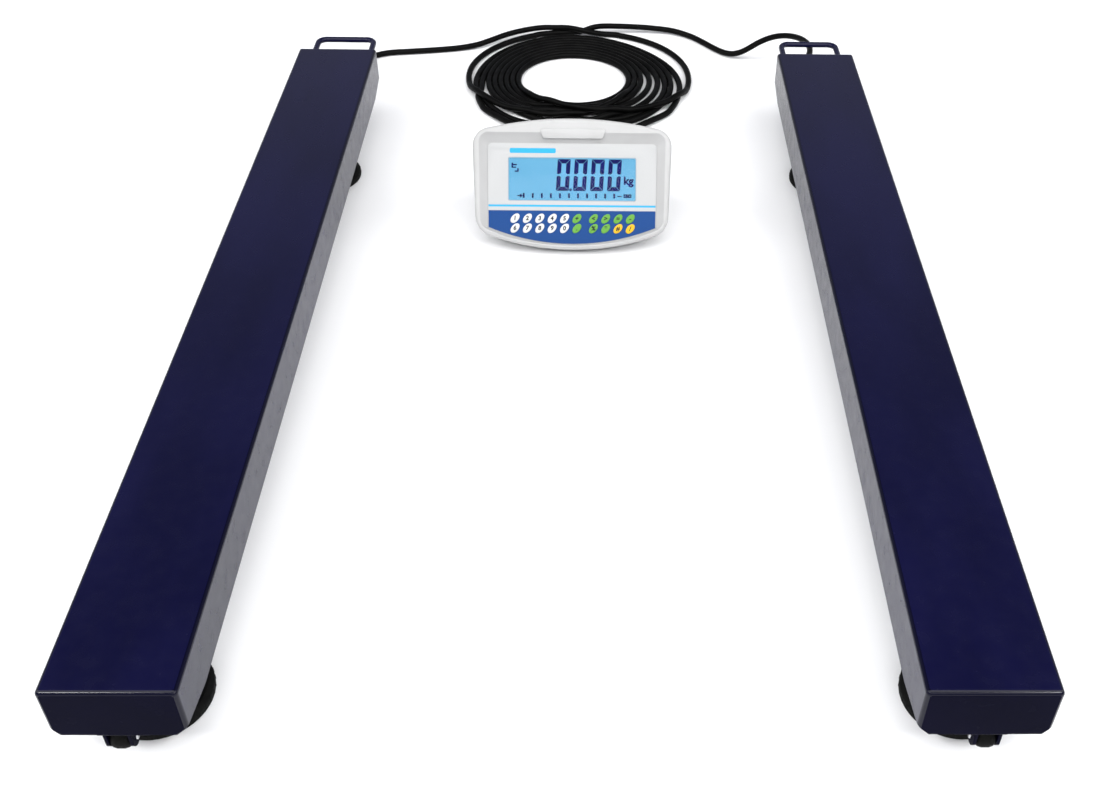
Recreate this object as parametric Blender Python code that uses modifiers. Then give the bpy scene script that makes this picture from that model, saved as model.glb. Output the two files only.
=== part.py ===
"""Pallet scale: two loose weigh beams, their cables and a desk indicator.

Metres, +Z up, the floor at Z = 0. The beams lie along +Y, side by side, and the transport rollers
are at their near ends (-Y). X = 0 is midway between the beams.
"""

import math

import bmesh
import bpy
from mathutils import Matrix, Vector

# ---------------------------------------------------------------- driving dimensions
BEAM_LENGTH = 1.200
BEAM_WIDTH = 0.120
BEAM_SPACING = 0.753            # centre line to centre line
DECK_TOP = 0.120                # height of the weighing surface
SHELL_DEPTH = 0.060
WALL = 0.003
FOLD_RADIUS = 0.0035
BEAM_NEAR = -0.640
BEAM_FAR = BEAM_NEAR + BEAM_LENGTH
INNER_CUT, OUTER_CUT = 0.0115, 0.0085   # each lower corner of the shell is cut: across its end,
CUT_ALONG, CUT_UP = 0.055, 0.0115       # and along and up its side
GAP = 0.0003                    # between pieces that touch

PAD_RADIUS = 0.0505
FOOT_NEAR = BEAM_NEAR + 0.083
FOOT_FAR = BEAM_FAR - 0.188
STUD_RADIUS = 0.008
CELL_LENGTH = 0.130
CELL_SIDE = 0.034
CELL_TOP = 0.106

ROLLER_RADIUS = 0.0115
ROLLER_WIDTH = 0.018
ROLLER_OFFSET = 0.0110          # outboard of the beam's centre line
ROLLER_Y = BEAM_NEAR + 0.020
ROLLER_Z = 0.0302
AXLE_RADIUS = 0.0025
CHEEK_RADIUS = 0.0095

ROD_RADIUS = 0.0045
HANDLE_HALF = 0.0445            # rod centre line from the beam's centre line
HANDLE_REACH = 0.0755
HANDLE_Z = 0.098
HANDLE_BEND = 0.013

CABLE_RADIUS = 0.005
GLAND_Z = 0.080
GLAND_END = BEAM_FAR + 0.030

COIL_CENTRE = (0.001, 0.685)
COIL_INNER = 0.090
COIL_OUTER = 0.184
COIL_HEIGHT = 0.036

FACE_LEAN = math.radians(36)    # the indicator's face, back from upright
FACE_ORIGIN = (-0.002, 0.1645, 0.014)   # middle of the face's lower edge
FACE_HEIGHT = 0.181
RIM_DEPTH = 0.020
FLOOR_DEPTH = 0.006             # the sunk face, below the rim
SHELL_WALL = 0.003
KEY_ROWS = (0.0294, 0.0431)
KEY_COLUMNS = (-0.0792, -0.0620, -0.0448, -0.0276, -0.0104, 0.0068, 0.0298, 0.0469, 0.0640, 0.0811)
KEY_LONG, KEY_SHORT = 0.0078, 0.0048
KEY_SLANT = math.radians(48)

# Routes of the cables where they aren't coiled, from the gland to the coil.
LEFT_ROUTE = [
    (-0.3765, 0.5903, 0.0800), (-0.3765, 0.6150, 0.0780), (-0.3765, 0.6500, 0.0640),
    (-0.3768, 0.6850, 0.0400), (-0.3762, 0.7170, 0.0180), (-0.3720, 0.7440, 0.0075),
    (-0.3590, 0.7660, 0.0054), (-0.3360, 0.7780, 0.0053), (-0.3000, 0.7840, 0.0053),
    (-0.2560, 0.7910, 0.0053), (-0.2180, 0.7990, 0.0053), (-0.1850, 0.8090, 0.0070),
    (-0.1620, 0.8215, 0.0095),
]
RIGHT_ROUTE = [
    (0.3765, 0.5903, 0.0800), (0.3767, 0.6085, 0.0800), (0.3796, 0.6300, 0.0799),
    (0.3846, 0.6530, 0.0788), (0.3858, 0.6790, 0.0763), (0.3807, 0.7050, 0.0725),
    (0.3707, 0.7280, 0.0672), (0.3571, 0.7480, 0.0600), (0.3424, 0.7620, 0.0518),
    (0.3270, 0.7705, 0.0425), (0.3115, 0.7738, 0.0325), (0.2975, 0.7740, 0.0230),
    (0.2845, 0.7758, 0.0148), (0.2707, 0.7808, 0.0090), (0.2560, 0.7918, 0.0060),
    (0.2400, 0.8090, 0.0053), (0.2210, 0.8330, 0.0053), (0.2000, 0.8560, 0.0056),
    (0.1680, 0.8740, 0.0075), (0.1300, 0.8790, 0.0100), (0.0990, 0.8790, 0.0120),
]
# From the coil to the plugs behind the indicator.
LEFT_LEAD = [
    (-0.0860, 0.4950, 0.0085), (-0.0640, 0.4790, 0.0058), (-0.0460, 0.4580, 0.0054),
    (-0.0380, 0.4330, 0.0062), (-0.0370, 0.4080, 0.0115), (-0.0370, 0.3850, 0.0176),
    (-0.0370, 0.3720, 0.0199), (-0.0370, 0.3603, 0.0200),
]
RIGHT_LEAD = [(-x - 0.004, y, z) for x, y, z in LEFT_LEAD]


# ---------------------------------------------------------------- scene and materials
def clear_scene():
    for obj in list(bpy.data.objects):
        bpy.data.objects.remove(obj, do_unlink=True)


clear_scene()
PARTS = bpy.data.collections.new("pallet_scale")
CUTTERS = bpy.data.collections.new("pallet_scale_cutters")
for collection in (PARTS, CUTTERS):
    bpy.context.scene.collection.children.link(collection)


def material(name, colour, roughness, metallic=0.0):
    made = bpy.data.materials.new(name)
    made.use_nodes = True
    shader = made.node_tree.nodes["Principled BSDF"]
    shader.inputs["Base Color"].default_value = (*colour, 1)
    shader.inputs["Roughness"].default_value = roughness
    shader.inputs["Metallic"].default_value = metallic
    return made


NAVY = material("navy_powder_coat", (0.006, 0.006, 0.045), 0.25)
STEEL = material("zinc_steel", (0.55, 0.56, 0.58), 0.35, 1.0)
ALLOY = material("load_cell_alloy", (0.70, 0.71, 0.73), 0.30, 1.0)
RUBBER = material("black_rubber", (0.012, 0.012, 0.013), 0.75)
NYLON = material("black_nylon", (0.015, 0.015, 0.016), 0.45)
CABLE = material("cable_sheath", (0.010, 0.010, 0.010), 0.55)
CASE = material("white_case", (0.80, 0.80, 0.79), 0.40)
OVERLAY = material("keypad_overlay", (0.03, 0.10, 0.45), 0.40)
GLASS = material("display_window", (0.35, 0.65, 0.90), 0.10)
LCD = material("display_cell", (0.20, 0.45, 0.75), 0.30)
BOARD = material("circuit_board", (0.02, 0.20, 0.08), 0.50)
CELL_BLOCK = material("battery_case", (0.10, 0.10, 0.11), 0.50)
KEY_WHITE = material("key_white", (0.85, 0.85, 0.85), 0.40)
KEY_GREEN = material("key_green", (0.16, 0.45, 0.08), 0.40)
KEY_YELLOW = material("key_yellow", (0.85, 0.55, 0.02), 0.40)


# ---------------------------------------------------------------- modelling helpers
def place(name, mesh, mat, parent=None, location=(0, 0, 0)):
    """A named sub-part, smooth where its faces meet gently."""
    obj = bpy.data.objects.new(name, mesh)
    PARTS.objects.link(obj)
    obj.parent = parent
    obj.location = location
    mesh.materials.clear()
    mesh.materials.append(mat)
    mesh.shade_smooth()
    mesh.set_sharp_from_angle(angle=math.radians(35))
    return obj


def frame(name, location, rotation=(0, 0, 0)):
    empty = bpy.data.objects.new(name, None)
    PARTS.objects.link(empty)
    empty.location = location
    empty.rotation_euler = rotation
    return empty


def to_mesh(bm, name):
    bmesh.ops.recalc_face_normals(bm, faces=bm.faces)
    mesh = bpy.data.meshes.new(name)
    bm.to_mesh(mesh)
    bm.free()
    return mesh


def box_bm(low, high):
    """A box between two corners."""
    low, high = Vector(low), Vector(high)
    bm = bmesh.new()
    bmesh.ops.create_cube(bm, size=1)
    bmesh.ops.scale(bm, vec=high - low, verts=bm.verts)
    bmesh.ops.translate(bm, vec=(high + low) / 2, verts=bm.verts)
    return bm


def box(low, high, name="box"):
    return to_mesh(box_bm(low, high), name)


def bevelled_box(low, high, width, segments=2, name="box"):
    bm = box_bm(low, high)
    bmesh.ops.bevel(bm, geom=bm.edges[:], offset=width, segments=segments, affect="EDGES", profile=0.5)
    return to_mesh(bm, name)


YZ_PLANE = Matrix.Rotation(math.pi / 2, 4, "Z") @ Matrix.Rotation(math.pi / 2, 4, "X")
TURNS = {"X": Matrix.Rotation(math.pi / 2, 4, "Y"), "Y": Matrix.Rotation(-math.pi / 2, 4, "X"),
         "Z": Matrix.Identity(4)}


def cylinder(radius, low, high, axis="Z", centre=(0, 0), segments=24, turn=0.0, name="cylinder"):
    """A cylinder from low to high along axis; centre is on the other two axes, in X, Y, Z order."""
    bm = bmesh.new()
    bmesh.ops.create_cone(bm, cap_ends=True, segments=segments, radius1=radius, radius2=radius,
                          depth=high - low)
    bmesh.ops.rotate(bm, verts=bm.verts, matrix=Matrix.Rotation(turn, 3, "Z"))
    middle = (low + high) / 2
    where = {"X": (middle, *centre), "Y": (centre[0], middle, centre[1]), "Z": (*centre, middle)}[axis]
    bmesh.ops.transform(bm, matrix=Matrix.Translation(where) @ TURNS[axis], verts=bm.verts)
    return to_mesh(bm, name)


def turned(name, profile, steps, mat, parent=None, location=(0, 0, 0), rotation=(0, 0, 0), ring=False):
    """A turned part: the profile's (radius, height) points run down its outer side, about local Z."""
    mesh = bpy.data.meshes.new(name)
    count = len(profile)
    edges = [(i, i + 1) for i in range(count - 1)] + ([(count - 1, 0)] if ring else [])
    mesh.from_pydata([(r, 0, z) for r, z in profile], edges, [])
    obj = place(name, mesh, mat, parent, location)
    obj.rotation_euler = rotation
    screw = obj.modifiers.new("turn", "SCREW")
    screw.axis = "Z"
    screw.steps = screw.render_steps = steps
    screw.use_merge_vertices = True
    screw.merge_threshold = 0.00001
    screw.use_smooth_shade = True
    return obj


def cutter(mesh, parent=None, location=(0, 0, 0)):
    obj = bpy.data.objects.new("tool_" + mesh.name, mesh)
    CUTTERS.objects.link(obj)
    obj.parent = parent
    obj.location = location
    obj.hide_render = True
    obj.display_type = "WIRE"
    return obj


def boolean(obj, mesh, operation):
    """Cuts, adds or keeps a mesh that is given in obj's own frame."""
    tool = cutter(mesh, obj.parent, obj.location)
    tool.rotation_euler = obj.rotation_euler
    step = obj.modifiers.new(operation.lower(), "BOOLEAN")
    step.operation = operation
    step.object = tool
    return tool


def cut(obj, *meshes):
    for mesh in meshes:
        boolean(obj, mesh, "DIFFERENCE")


def add(obj, *meshes):
    for mesh in meshes:
        boolean(obj, mesh, "UNION")


def smooth_route(points, spacing):
    """Points a given distance apart on the Catmull-Rom curve through the route's own points."""
    guide = [Vector(p) for p in points]
    padded = [guide[0] * 2 - guide[1], *guide, guide[-1] * 2 - guide[-2]]
    fine = []
    for a, b, c, d in zip(padded, padded[1:], padded[2:], padded[3:]):
        for i in range(24):
            t = i / 24
            fine.append(0.5 * ((2 * b) + (c - a) * t + (2 * a - 5 * b + 4 * c - d) * t * t
                               + (3 * b - a - 3 * c + d) * t ** 3))
    fine.append(guide[-1])
    total = sum((q - p).length for p, q in zip(fine, fine[1:]))
    count = max(2, round(total / spacing))
    even, walked, target = [fine[0]], 0.0, total / count
    for p, q in zip(fine, fine[1:]):
        step = (q - p).length
        while walked + step >= target and len(even) < count:
            even.append(p.lerp(q, (target - walked) / step))
            target += total / count
        walked += step
    even.append(fine[-1])
    return even


def tube(name, points, radius, mat, parent=None, resolution=2):
    """A round bar or cable along a POLY spline, with filled caps."""
    curve = bpy.data.curves.new(name, "CURVE")
    curve.dimensions = "3D"
    curve.resolution_u = 1
    curve.bevel_depth = radius
    curve.bevel_resolution = resolution
    curve.use_fill_caps = True
    spline = curve.splines.new("POLY")
    spline.points.add(len(points) - 1)
    for slot, p in zip(spline.points, points):
        slot.co = (*p, 1)
    obj = bpy.data.objects.new(name, curve)
    PARTS.objects.link(obj)
    obj.parent = parent
    curve.materials.append(mat)
    return obj


def plate(outline, low, high, name="plate"):
    """A flat outline in local X and Y, thickened from low to high along Z."""
    curve = bpy.data.curves.new(name, "CURVE")
    curve.dimensions = "2D"
    curve.fill_mode = "BOTH"
    curve.resolution_u = 1
    curve.extrude = (high - low) / 2
    spline = curve.splines.new("POLY")
    spline.points.add(len(outline) - 1)
    for slot, p in zip(spline.points, outline):
        slot.co = (p[0], p[1], 0, 1)
    spline.use_cyclic_u = True
    temporary = bpy.data.objects.new(name, curve)
    bpy.context.scene.collection.objects.link(temporary)
    bpy.context.view_layer.update()
    evaluated = temporary.evaluated_get(bpy.context.evaluated_depsgraph_get())
    mesh = bpy.data.meshes.new_from_object(evaluated)
    bpy.data.objects.remove(temporary, do_unlink=True)
    bpy.data.curves.remove(curve)
    bm = bmesh.new()
    bm.from_mesh(mesh)
    bpy.data.meshes.remove(mesh)
    bmesh.ops.remove_doubles(bm, verts=bm.verts, dist=0.00001)
    bmesh.ops.translate(bm, vec=(0, 0, (low + high) / 2), verts=bm.verts)
    return to_mesh(bm, name)


def rounded(corners):
    """An outline from (x, y, radius, steps) corners, each with a fillet where its radius isn't 0."""
    points, count = [], len(corners)
    for i, (x, y, radius, steps) in enumerate(corners):
        here = Vector((x, y))
        if radius == 0:
            points.append((x, y))
            continue
        before = (Vector(corners[i - 1][:2]) - here).normalized()
        after = (Vector(corners[(i + 1) % count][:2]) - here).normalized()
        half = before.angle(after) / 2
        centre = here + (before + after).normalized() * (radius / math.sin(half))
        start = here + before * (radius / math.tan(half)) - centre
        end = here + after * (radius / math.tan(half)) - centre
        sweep = start.angle_signed(end)
        for k in range(steps + 1):
            turn = Matrix.Rotation(-sweep * k / steps, 2)
            points.append(tuple(centre + turn @ start))
    return points


def arc_x(radius, base, half, count, up):
    """Points of a shallow arc through (0, base), from -half to +half in x; it curls up or down."""
    sign = 1 if up else -1
    xs = [half * (2 * i / (count - 1) - 1) for i in range(count)]
    return [(x, base + sign * (radius - math.sqrt(radius * radius - x * x)), 0, 0) for x in xs]


# ---------------------------------------------------------------- one weigh beam
def deck(side, sign, parent):
    """The folded steel channel that the pallet rests on, open below, with its two end plates."""
    half = BEAM_WIDTH / 2
    bottom = DECK_TOP - SHELL_DEPTH
    bm = box_bm((-half, BEAM_NEAR, bottom), (half, BEAM_FAR, DECK_TOP))
    for sx in (-1, 1):
        across = OUTER_CUT if sx == sign else INNER_CUT
        for end, sy in ((BEAM_NEAR, -1), (BEAM_FAR, 1)):
            on_side = Vector((sx * half, end - sy * CUT_ALONG, bottom))
            on_edge = Vector((sx * half, end, bottom + CUT_UP))
            on_end = Vector((sx * (half - across), end, bottom))
            normal = (on_edge - on_side).cross(on_end - on_side).normalized()
            if normal.z > 0:
                normal.negate()
            bmesh.ops.bisect_plane(bm, geom=bm.verts[:] + bm.edges[:] + bm.faces[:], plane_co=on_side,
                                   plane_no=normal, clear_outer=True)
            bmesh.ops.holes_fill(bm, edges=bm.edges[:])
    top = [e for e in bm.edges if all(v.co.z > DECK_TOP - 1e-6 for v in e.verts)]
    upright = [e for e in bm.edges if abs(e.verts[0].co.x - e.verts[1].co.x) < 1e-6
               and abs(e.verts[0].co.y - e.verts[1].co.y) < 1e-6]
    bmesh.ops.bevel(bm, geom=top + upright, offset=FOLD_RADIUS, segments=2, affect="EDGES", profile=0.5)
    obj = place(side + "_deck", to_mesh(bm, side + "_deck"), NAVY, parent)
    inside = box((-half + WALL, BEAM_NEAR + WALL, 0), (half - WALL, BEAM_FAR - WALL, DECK_TOP - WALL),
                 "cavity")
    gland_hole = cylinder(0.0064, BEAM_FAR - 0.01, BEAM_FAR + 0.01, "Y", (0, GLAND_Z), 16, name="gland_hole")
    cut(obj, inside, gland_hole)
    return obj


def stiffener(side, parent):
    """The plate under the deck, with two ribs between the load cells."""
    top = DECK_TOP - WALL - GAP
    low, high = FOOT_NEAR - 0.020, FOOT_FAR + 0.020
    obj = place(side + "_stiffener", box((-0.042, low, top - 0.006), (0.042, high, top)), NAVY, parent)
    ribs_from, ribs_to = FOOT_NEAR + CELL_LENGTH + 0.012, FOOT_FAR - CELL_LENGTH - 0.012
    for sx in (-1, 1):
        x = sx * 0.032
        add(obj, box((x - 0.002, ribs_from, 0.072), (x + 0.002, ribs_to, top - 0.003), "rib"))
    return obj


def load_cell(name, foot_y, inward, parent):
    """A shear beam: bolted up to the stiffener at its inner end, held by the foot at its outer end."""
    half = CELL_SIDE / 2
    start, end = foot_y - inward * 0.020, foot_y + inward * (CELL_LENGTH - 0.020)
    low, high = min(start, end), max(start, end)
    bottom = CELL_TOP - CELL_SIDE
    obj = place(name, bevelled_box((-half, low, bottom), (half, high, CELL_TOP), 0.0012, 1), ALLOY, parent)
    pad = sorted((end - inward * 0.045, end - inward * 0.002))
    pad_top = DECK_TOP - WALL - 2 * GAP - 0.006
    add(obj, box((-half + 0.002, pad[0], CELL_TOP - 0.002), (half - 0.002, pad[1], pad_top), "seat"))
    web = sorted((foot_y + inward * 0.030, foot_y + inward * 0.056))
    for sx in (-1, 1):
        x = sorted((sx * 0.004, sx * (half + 0.001)))
        cut(obj, box((x[0], web[0], bottom + 0.007), (x[1], web[1], CELL_TOP - 0.007), "gauge_pocket"))
    cut(obj, cylinder(STUD_RADIUS + 0.0004, bottom - 0.01, CELL_TOP + 0.01, "Z", (0, foot_y), 20,
                      name="stud_hole"))
    return obj


def foot(name, foot_y, parent):
    """A levelling foot: a wide rubber pad on a threaded stud, with its lock nut."""
    pad = [(0, 0.1010), (STUD_RADIUS, 0.1010), (STUD_RADIUS, 0.0640), (0.0135, 0.0640), (0.0135, 0.0560),
           (STUD_RADIUS, 0.0560), (STUD_RADIUS, 0.0270), (0.0150, 0.0240), (0.0200, 0.0150),
           (PAD_RADIUS - 0.0040, 0.0125), (PAD_RADIUS, 0.0095), (PAD_RADIUS, 0.0025),
           (PAD_RADIUS - 0.0025, 0), (0, 0)]
    return turned(name, pad, 32, RUBBER, parent, (0, foot_y, 0))


def roller_fork(side, sign, parent):
    """The welded fork that hangs from the deck's near end and holds the transport roller."""
    top = DECK_TOP - WALL - GAP
    wide, thick = 0.0235, 0.003
    middle = sign * ROLLER_OFFSET
    inner = ROLLER_WIDTH / 2 + GAP
    near, far = ROLLER_Y - CHEEK_RADIUS, ROLLER_Y + CHEEK_RADIUS
    obj = place(side + "_roller_fork", box((-wide, near, top - thick), (wide, far, top)), NAVY, parent)
    cheek = [(near, top - 0.001), (far, top - 0.001)]
    for i in range(13):
        a = -math.pi * i / 12
        cheek.append((ROLLER_Y + CHEEK_RADIUS * math.cos(a), ROLLER_Z + CHEEK_RADIUS * math.sin(a)))
    for sx in (-1, 1):
        x = sorted((middle + sx * inner, middle + sx * (inner + thick)))
        mesh = plate(cheek, *x, "cheek")
        mesh.transform(YZ_PLANE)
        add(obj, mesh)
    foot_low = DECK_TOP - SHELL_DEPTH - 0.006
    add(obj, box((-wide, BEAM_NEAR + WALL + GAP, foot_low), (wide, far + 0.012, foot_low + thick), "flange"))
    cut(obj, cylinder(AXLE_RADIUS + GAP, -0.04, 0.04, "X", (ROLLER_Y, ROLLER_Z), 16, name="axle_hole"))
    return obj


def roller(side, sign, parent):
    """The transport roller, with crowned shoulders, on its plain axle."""
    x = sign * ROLLER_OFFSET
    half, bore = ROLLER_WIDTH / 2, AXLE_RADIUS + GAP
    crown = [(ROLLER_RADIUS - 0.0040, half), (ROLLER_RADIUS - 0.0012, half - 0.0016),
             (ROLLER_RADIUS, half - 0.0055)]
    profile = [(bore, half), *crown, *[(r, -z) for r, z in reversed(crown)], (bore, -half)]
    tyre = turned(side + "_roller", profile, 24, RUBBER, parent, (x, ROLLER_Y, ROLLER_Z),
                  (0, math.pi / 2, 0), ring=True)
    head = half + 2 * GAP + 0.003
    axle = place(side + "_roller_axle", cylinder(AXLE_RADIUS, -head - 0.001, head + 0.001, "X", (0, 0), 16),
                 STEEL, parent, (x, ROLLER_Y, ROLLER_Z))
    for sx in (-1, 1):
        ends = sorted((sx * head, sx * (head + 0.0018)))
        add(axle, cylinder(AXLE_RADIUS + 0.0012, *ends, "X", (0, 0), 16, name="axle_head"))
    return tyre, axle


def handle(side, parent):
    """The bent-rod pull handle on the far end plate."""
    start, bar = BEAM_FAR + GAP, BEAM_FAR + HANDLE_REACH
    bend = HANDLE_BEND
    points = [(-HANDLE_HALF, start, HANDLE_Z)]
    for sx, first, last in ((-1, 180, 90), (1, 90, 0)):
        for i in range(7):
            a = math.radians(first + (last - first) * i / 6)
            x = sx * (HANDLE_HALF - bend) + bend * math.cos(a)
            points.append((x, bar - bend + bend * math.sin(a), HANDLE_Z))
    points.append((HANDLE_HALF, start, HANDLE_Z))
    return tube(side + "_handle", points, ROD_RADIUS, NAVY, parent, 3)


def gland(side, parent):
    """The cable gland through the far end plate, with its inside lock nut and domed cap."""
    outer_face = 0.0090 + GAP                       # of the end plate, from the gland's inner end
    inner_face = outer_face - WALL - 2 * GAP
    tip = GLAND_END - BEAM_FAR + 0.0090
    thread, nut, body, cap = 0.0060, 0.0100, 0.0112, 0.0088
    profile = [(0, tip), (0.0072, tip), (cap, 0.0300), (cap, 0.0190), (body, 0.0180), (body, outer_face),
               (thread, outer_face), (thread, inner_face), (nut, inner_face), (nut, 0), (0, 0)]
    return turned(side + "_gland", profile, 16, NYLON, parent, (0, BEAM_FAR - 0.0090, GLAND_Z),
                  (-math.pi / 2, 0, 0))


def beam(side, sign):
    parent = frame(side + "_beam_frame", (sign * BEAM_SPACING / 2, 0, 0))
    deck(side, sign, parent)
    stiffener(side, parent)
    load_cell(side + "_load_cell_near", FOOT_NEAR, 1, parent)
    load_cell(side + "_load_cell_far", FOOT_FAR, -1, parent)
    foot(side + "_foot_near", FOOT_NEAR, parent)
    foot(side + "_foot_far", FOOT_FAR, parent)
    roller_fork(side, sign, parent)
    roller(side, sign, parent)
    handle(side, parent)
    gland(side, parent)


# ---------------------------------------------------------------- cables
def cables():
    tube("left_cable", smooth_route(LEFT_ROUTE, 0.016), CABLE_RADIUS, CABLE)
    tube("right_cable", smooth_route(RIGHT_ROUTE, 0.016), CABLE_RADIUS, CABLE)
    tube("left_lead", smooth_route(LEFT_LEAD, 0.018), CABLE_RADIUS, CABLE)
    tube("right_lead", smooth_route(RIGHT_LEAD, 0.018), CABLE_RADIUS, CABLE)
    low, rounding = 0.0003, 0.010
    ring = [(COIL_INNER, COIL_HEIGHT - rounding), (COIL_INNER + rounding, COIL_HEIGHT),
            (COIL_OUTER - rounding * 1.6, COIL_HEIGHT), (COIL_OUTER, COIL_HEIGHT - rounding * 1.6),
            (COIL_OUTER, low + 0.004), (COIL_OUTER - 0.004, low), (COIL_INNER + 0.004, low),
            (COIL_INNER, low + 0.004)]
    turned("cable_coil", ring, 40, CABLE, None, (*COIL_CENTRE, 0), ring=True)


def plug(name, x):
    """A cable plug, pushed into the back of the indicator."""
    profile = [(0, 0.0420), (0.0058, 0.0420), (0.0072, 0.0300), (0.0090, 0.0220), (0.0100, 0.0200),
               (0.0100, 0.0040), (0.0086, 0.0030), (0.0086, 0), (0, 0)]
    turned(name, profile, 16, NYLON, None, (x, PLUG_Y, PLUG_Z), (-math.pi / 2, 0, 0))


# ---------------------------------------------------------------- indicator
REAR_WALL = 0.1530              # behind the middle of the face's lower edge, at the level of the plugs
PLUG_Y = FACE_ORIGIN[1] + REAR_WALL + GAP
PLUG_Z = 0.0200


def face_outline(inset=0.0):
    """The case's outline: an arched top, nearly upright sides and a bottom like a smile."""
    top_radius, bottom_radius = 0.521, 0.365
    bottom = arc_x(bottom_radius, inset, 0.098 - inset, 9, True)
    top = arc_x(top_radius, FACE_HEIGHT - inset, 0.100 - inset, 9, False)
    return rounded([*bottom, (0.1333 - inset, 0.0250 + inset, 0.0295 - inset, 5),
                    (0.1378 - inset, 0.135, 0, 0),
                    (0.1383 - inset, 0.1640 - inset, 0.0256 - inset, 5), *reversed(top),
                    (-0.1383 + inset, 0.1640 - inset, 0.0256 - inset, 5), (-0.1378 + inset, 0.135, 0, 0),
                    (-0.1333 + inset, 0.0250 + inset, 0.0295 - inset, 5)])


def panel_outline(inset=0.0):
    """The sunk face and the printed overlay that lies in it."""
    bottom = arc_x(0.308, 0.0074 + inset, 0.1165 - inset, 13, True)
    return rounded([*bottom, (0.1175 - inset, 0.1470 - inset, 0.006, 3),
                    (-0.1175 + inset, 0.1470 - inset, 0.006, 3)])


def rectangle(low, high, radius):
    corners = [(low[0], low[1]), (high[0], low[1]), (high[0], high[1]), (low[0], high[1])]
    return rounded([(x, y, radius, 3) for x, y in corners])


def key_outline(x, y, grow=0.0, steps=12):
    """A slanted ellipse."""
    points = []
    for i in range(steps):
        a = 2 * math.pi * i / steps
        p, q = (KEY_LONG + grow) * math.cos(a), (KEY_SHORT + grow) * math.sin(a)
        points.append((x + p * math.cos(KEY_SLANT) - q * math.sin(KEY_SLANT),
                       y + p * math.sin(KEY_SLANT) + q * math.cos(KEY_SLANT)))
    return points


WINDOW = ((-0.0876, 0.0688), (0.0876, 0.1263))


def front_shell(parent):
    obj = place("front_shell", plate(face_outline(), -RIM_DEPTH, 0, "front_shell"), CASE, parent)
    cut(obj, plate(face_outline(SHELL_WALL), -RIM_DEPTH - 0.01, -FLOOR_DEPTH - SHELL_WALL, "hollow"))
    cut(obj, plate(panel_outline(-0.0006), -FLOOR_DEPTH, 0.01, "sunk_face"))
    cut(obj, plate(rectangle(*WINDOW, 0.002), -0.02, 0.01, "display_opening"))
    for low, high in ((-0.0900, 0.0170), (0.0200, 0.0910)):
        cut(obj, plate(rectangle((low, 0.0200), (high, 0.0525), 0.004), -0.02, 0.01, "key_opening"))
    add(obj, plate([(-0.038, 0.1525), (0.038, 0.1525), (0.0455, 0.1665), (-0.0455, 0.1665)],
                   -0.004, 0.0010, "top_tab"))
    return obj


def overlay(parent):
    low, high = -FLOOR_DEPTH + GAP, -FLOOR_DEPTH + 0.0011
    obj = place("keypad_overlay", plate(panel_outline(), low, high, "keypad_overlay"), OVERLAY, parent)
    grow = 0.0006
    around = rectangle([v - grow for v in WINDOW[0]], [v + grow for v in WINDOW[1]], 0.002)
    cut(obj, plate(around, -0.02, 0.01, "window_hole"))
    for row in KEY_ROWS:
        for x in KEY_COLUMNS:
            cut(obj, plate(key_outline(x, row, 0.0004), -0.02, 0.01, "key_hole"))
    return obj


def keys(parent):
    """Twenty keys: two rows of ten, the numerals in white, the functions in green and yellow."""
    top, bottom = -FLOOR_DEPTH + 0.0024, -0.0140
    for row, y in zip(("lower", "upper"), KEY_ROWS):
        for i, x in enumerate(KEY_COLUMNS):
            mat = KEY_WHITE if i < 5 else KEY_GREEN
            if row == "lower" and i > 7:
                mat = KEY_YELLOW
            mesh = plate(key_outline(0, 0), bottom, top, "key")
            place(f"key_{row}_{i + 1:02d}", mesh, mat, parent, (x, y, 0))


def indicator():
    parent = frame("indicator_frame", FACE_ORIGIN, (math.pi / 2 - FACE_LEAN, 0, 0))
    front_shell(parent)
    overlay(parent)
    keys(parent)
    window = rectangle([v + GAP for v in WINDOW[0]], [v - GAP for v in WINDOW[1]], 0.0018)
    place("display_window", plate(window, -0.0086, -0.0052), GLASS, parent)
    place("display_cell", bevelled_box((-0.0900, 0.0650, -0.0136), (0.0900, 0.1300, -0.0094), 0.0008, 1),
          LCD, parent)
    board = place("circuit_board", box((-0.1120, 0.0230, -0.0166), (0.1120, 0.1380, -0.0150)), BOARD, parent)
    add(board, box((-0.0950, 0.1345, -0.0160), (-0.0800, 0.1400, -0.0100), "board_socket"))
    rear_shell(parent)
    battery()


def side_profile(inset=0.0):
    """The rear case from the side, in world Y and Z from the face's lower edge, on a flat base."""
    base = 0.0030 + inset
    return [(-0.05, base), (REAR_WALL - inset, base), (REAR_WALL - inset, 0.0420 - inset * 0.6),
            (0.1490 - inset, 0.1100 - inset), (0.1330 - inset, 0.1420 - inset), (0.06, 0.19), (-0.05, 0.19)]


def profile_prism(half_width, inset, name):
    """The side profile as a solid across the indicator, in world axes about the face's lower edge."""
    mesh = plate(side_profile(inset), -half_width, half_width, name)
    mesh.transform(YZ_PLANE)
    return mesh


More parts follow.
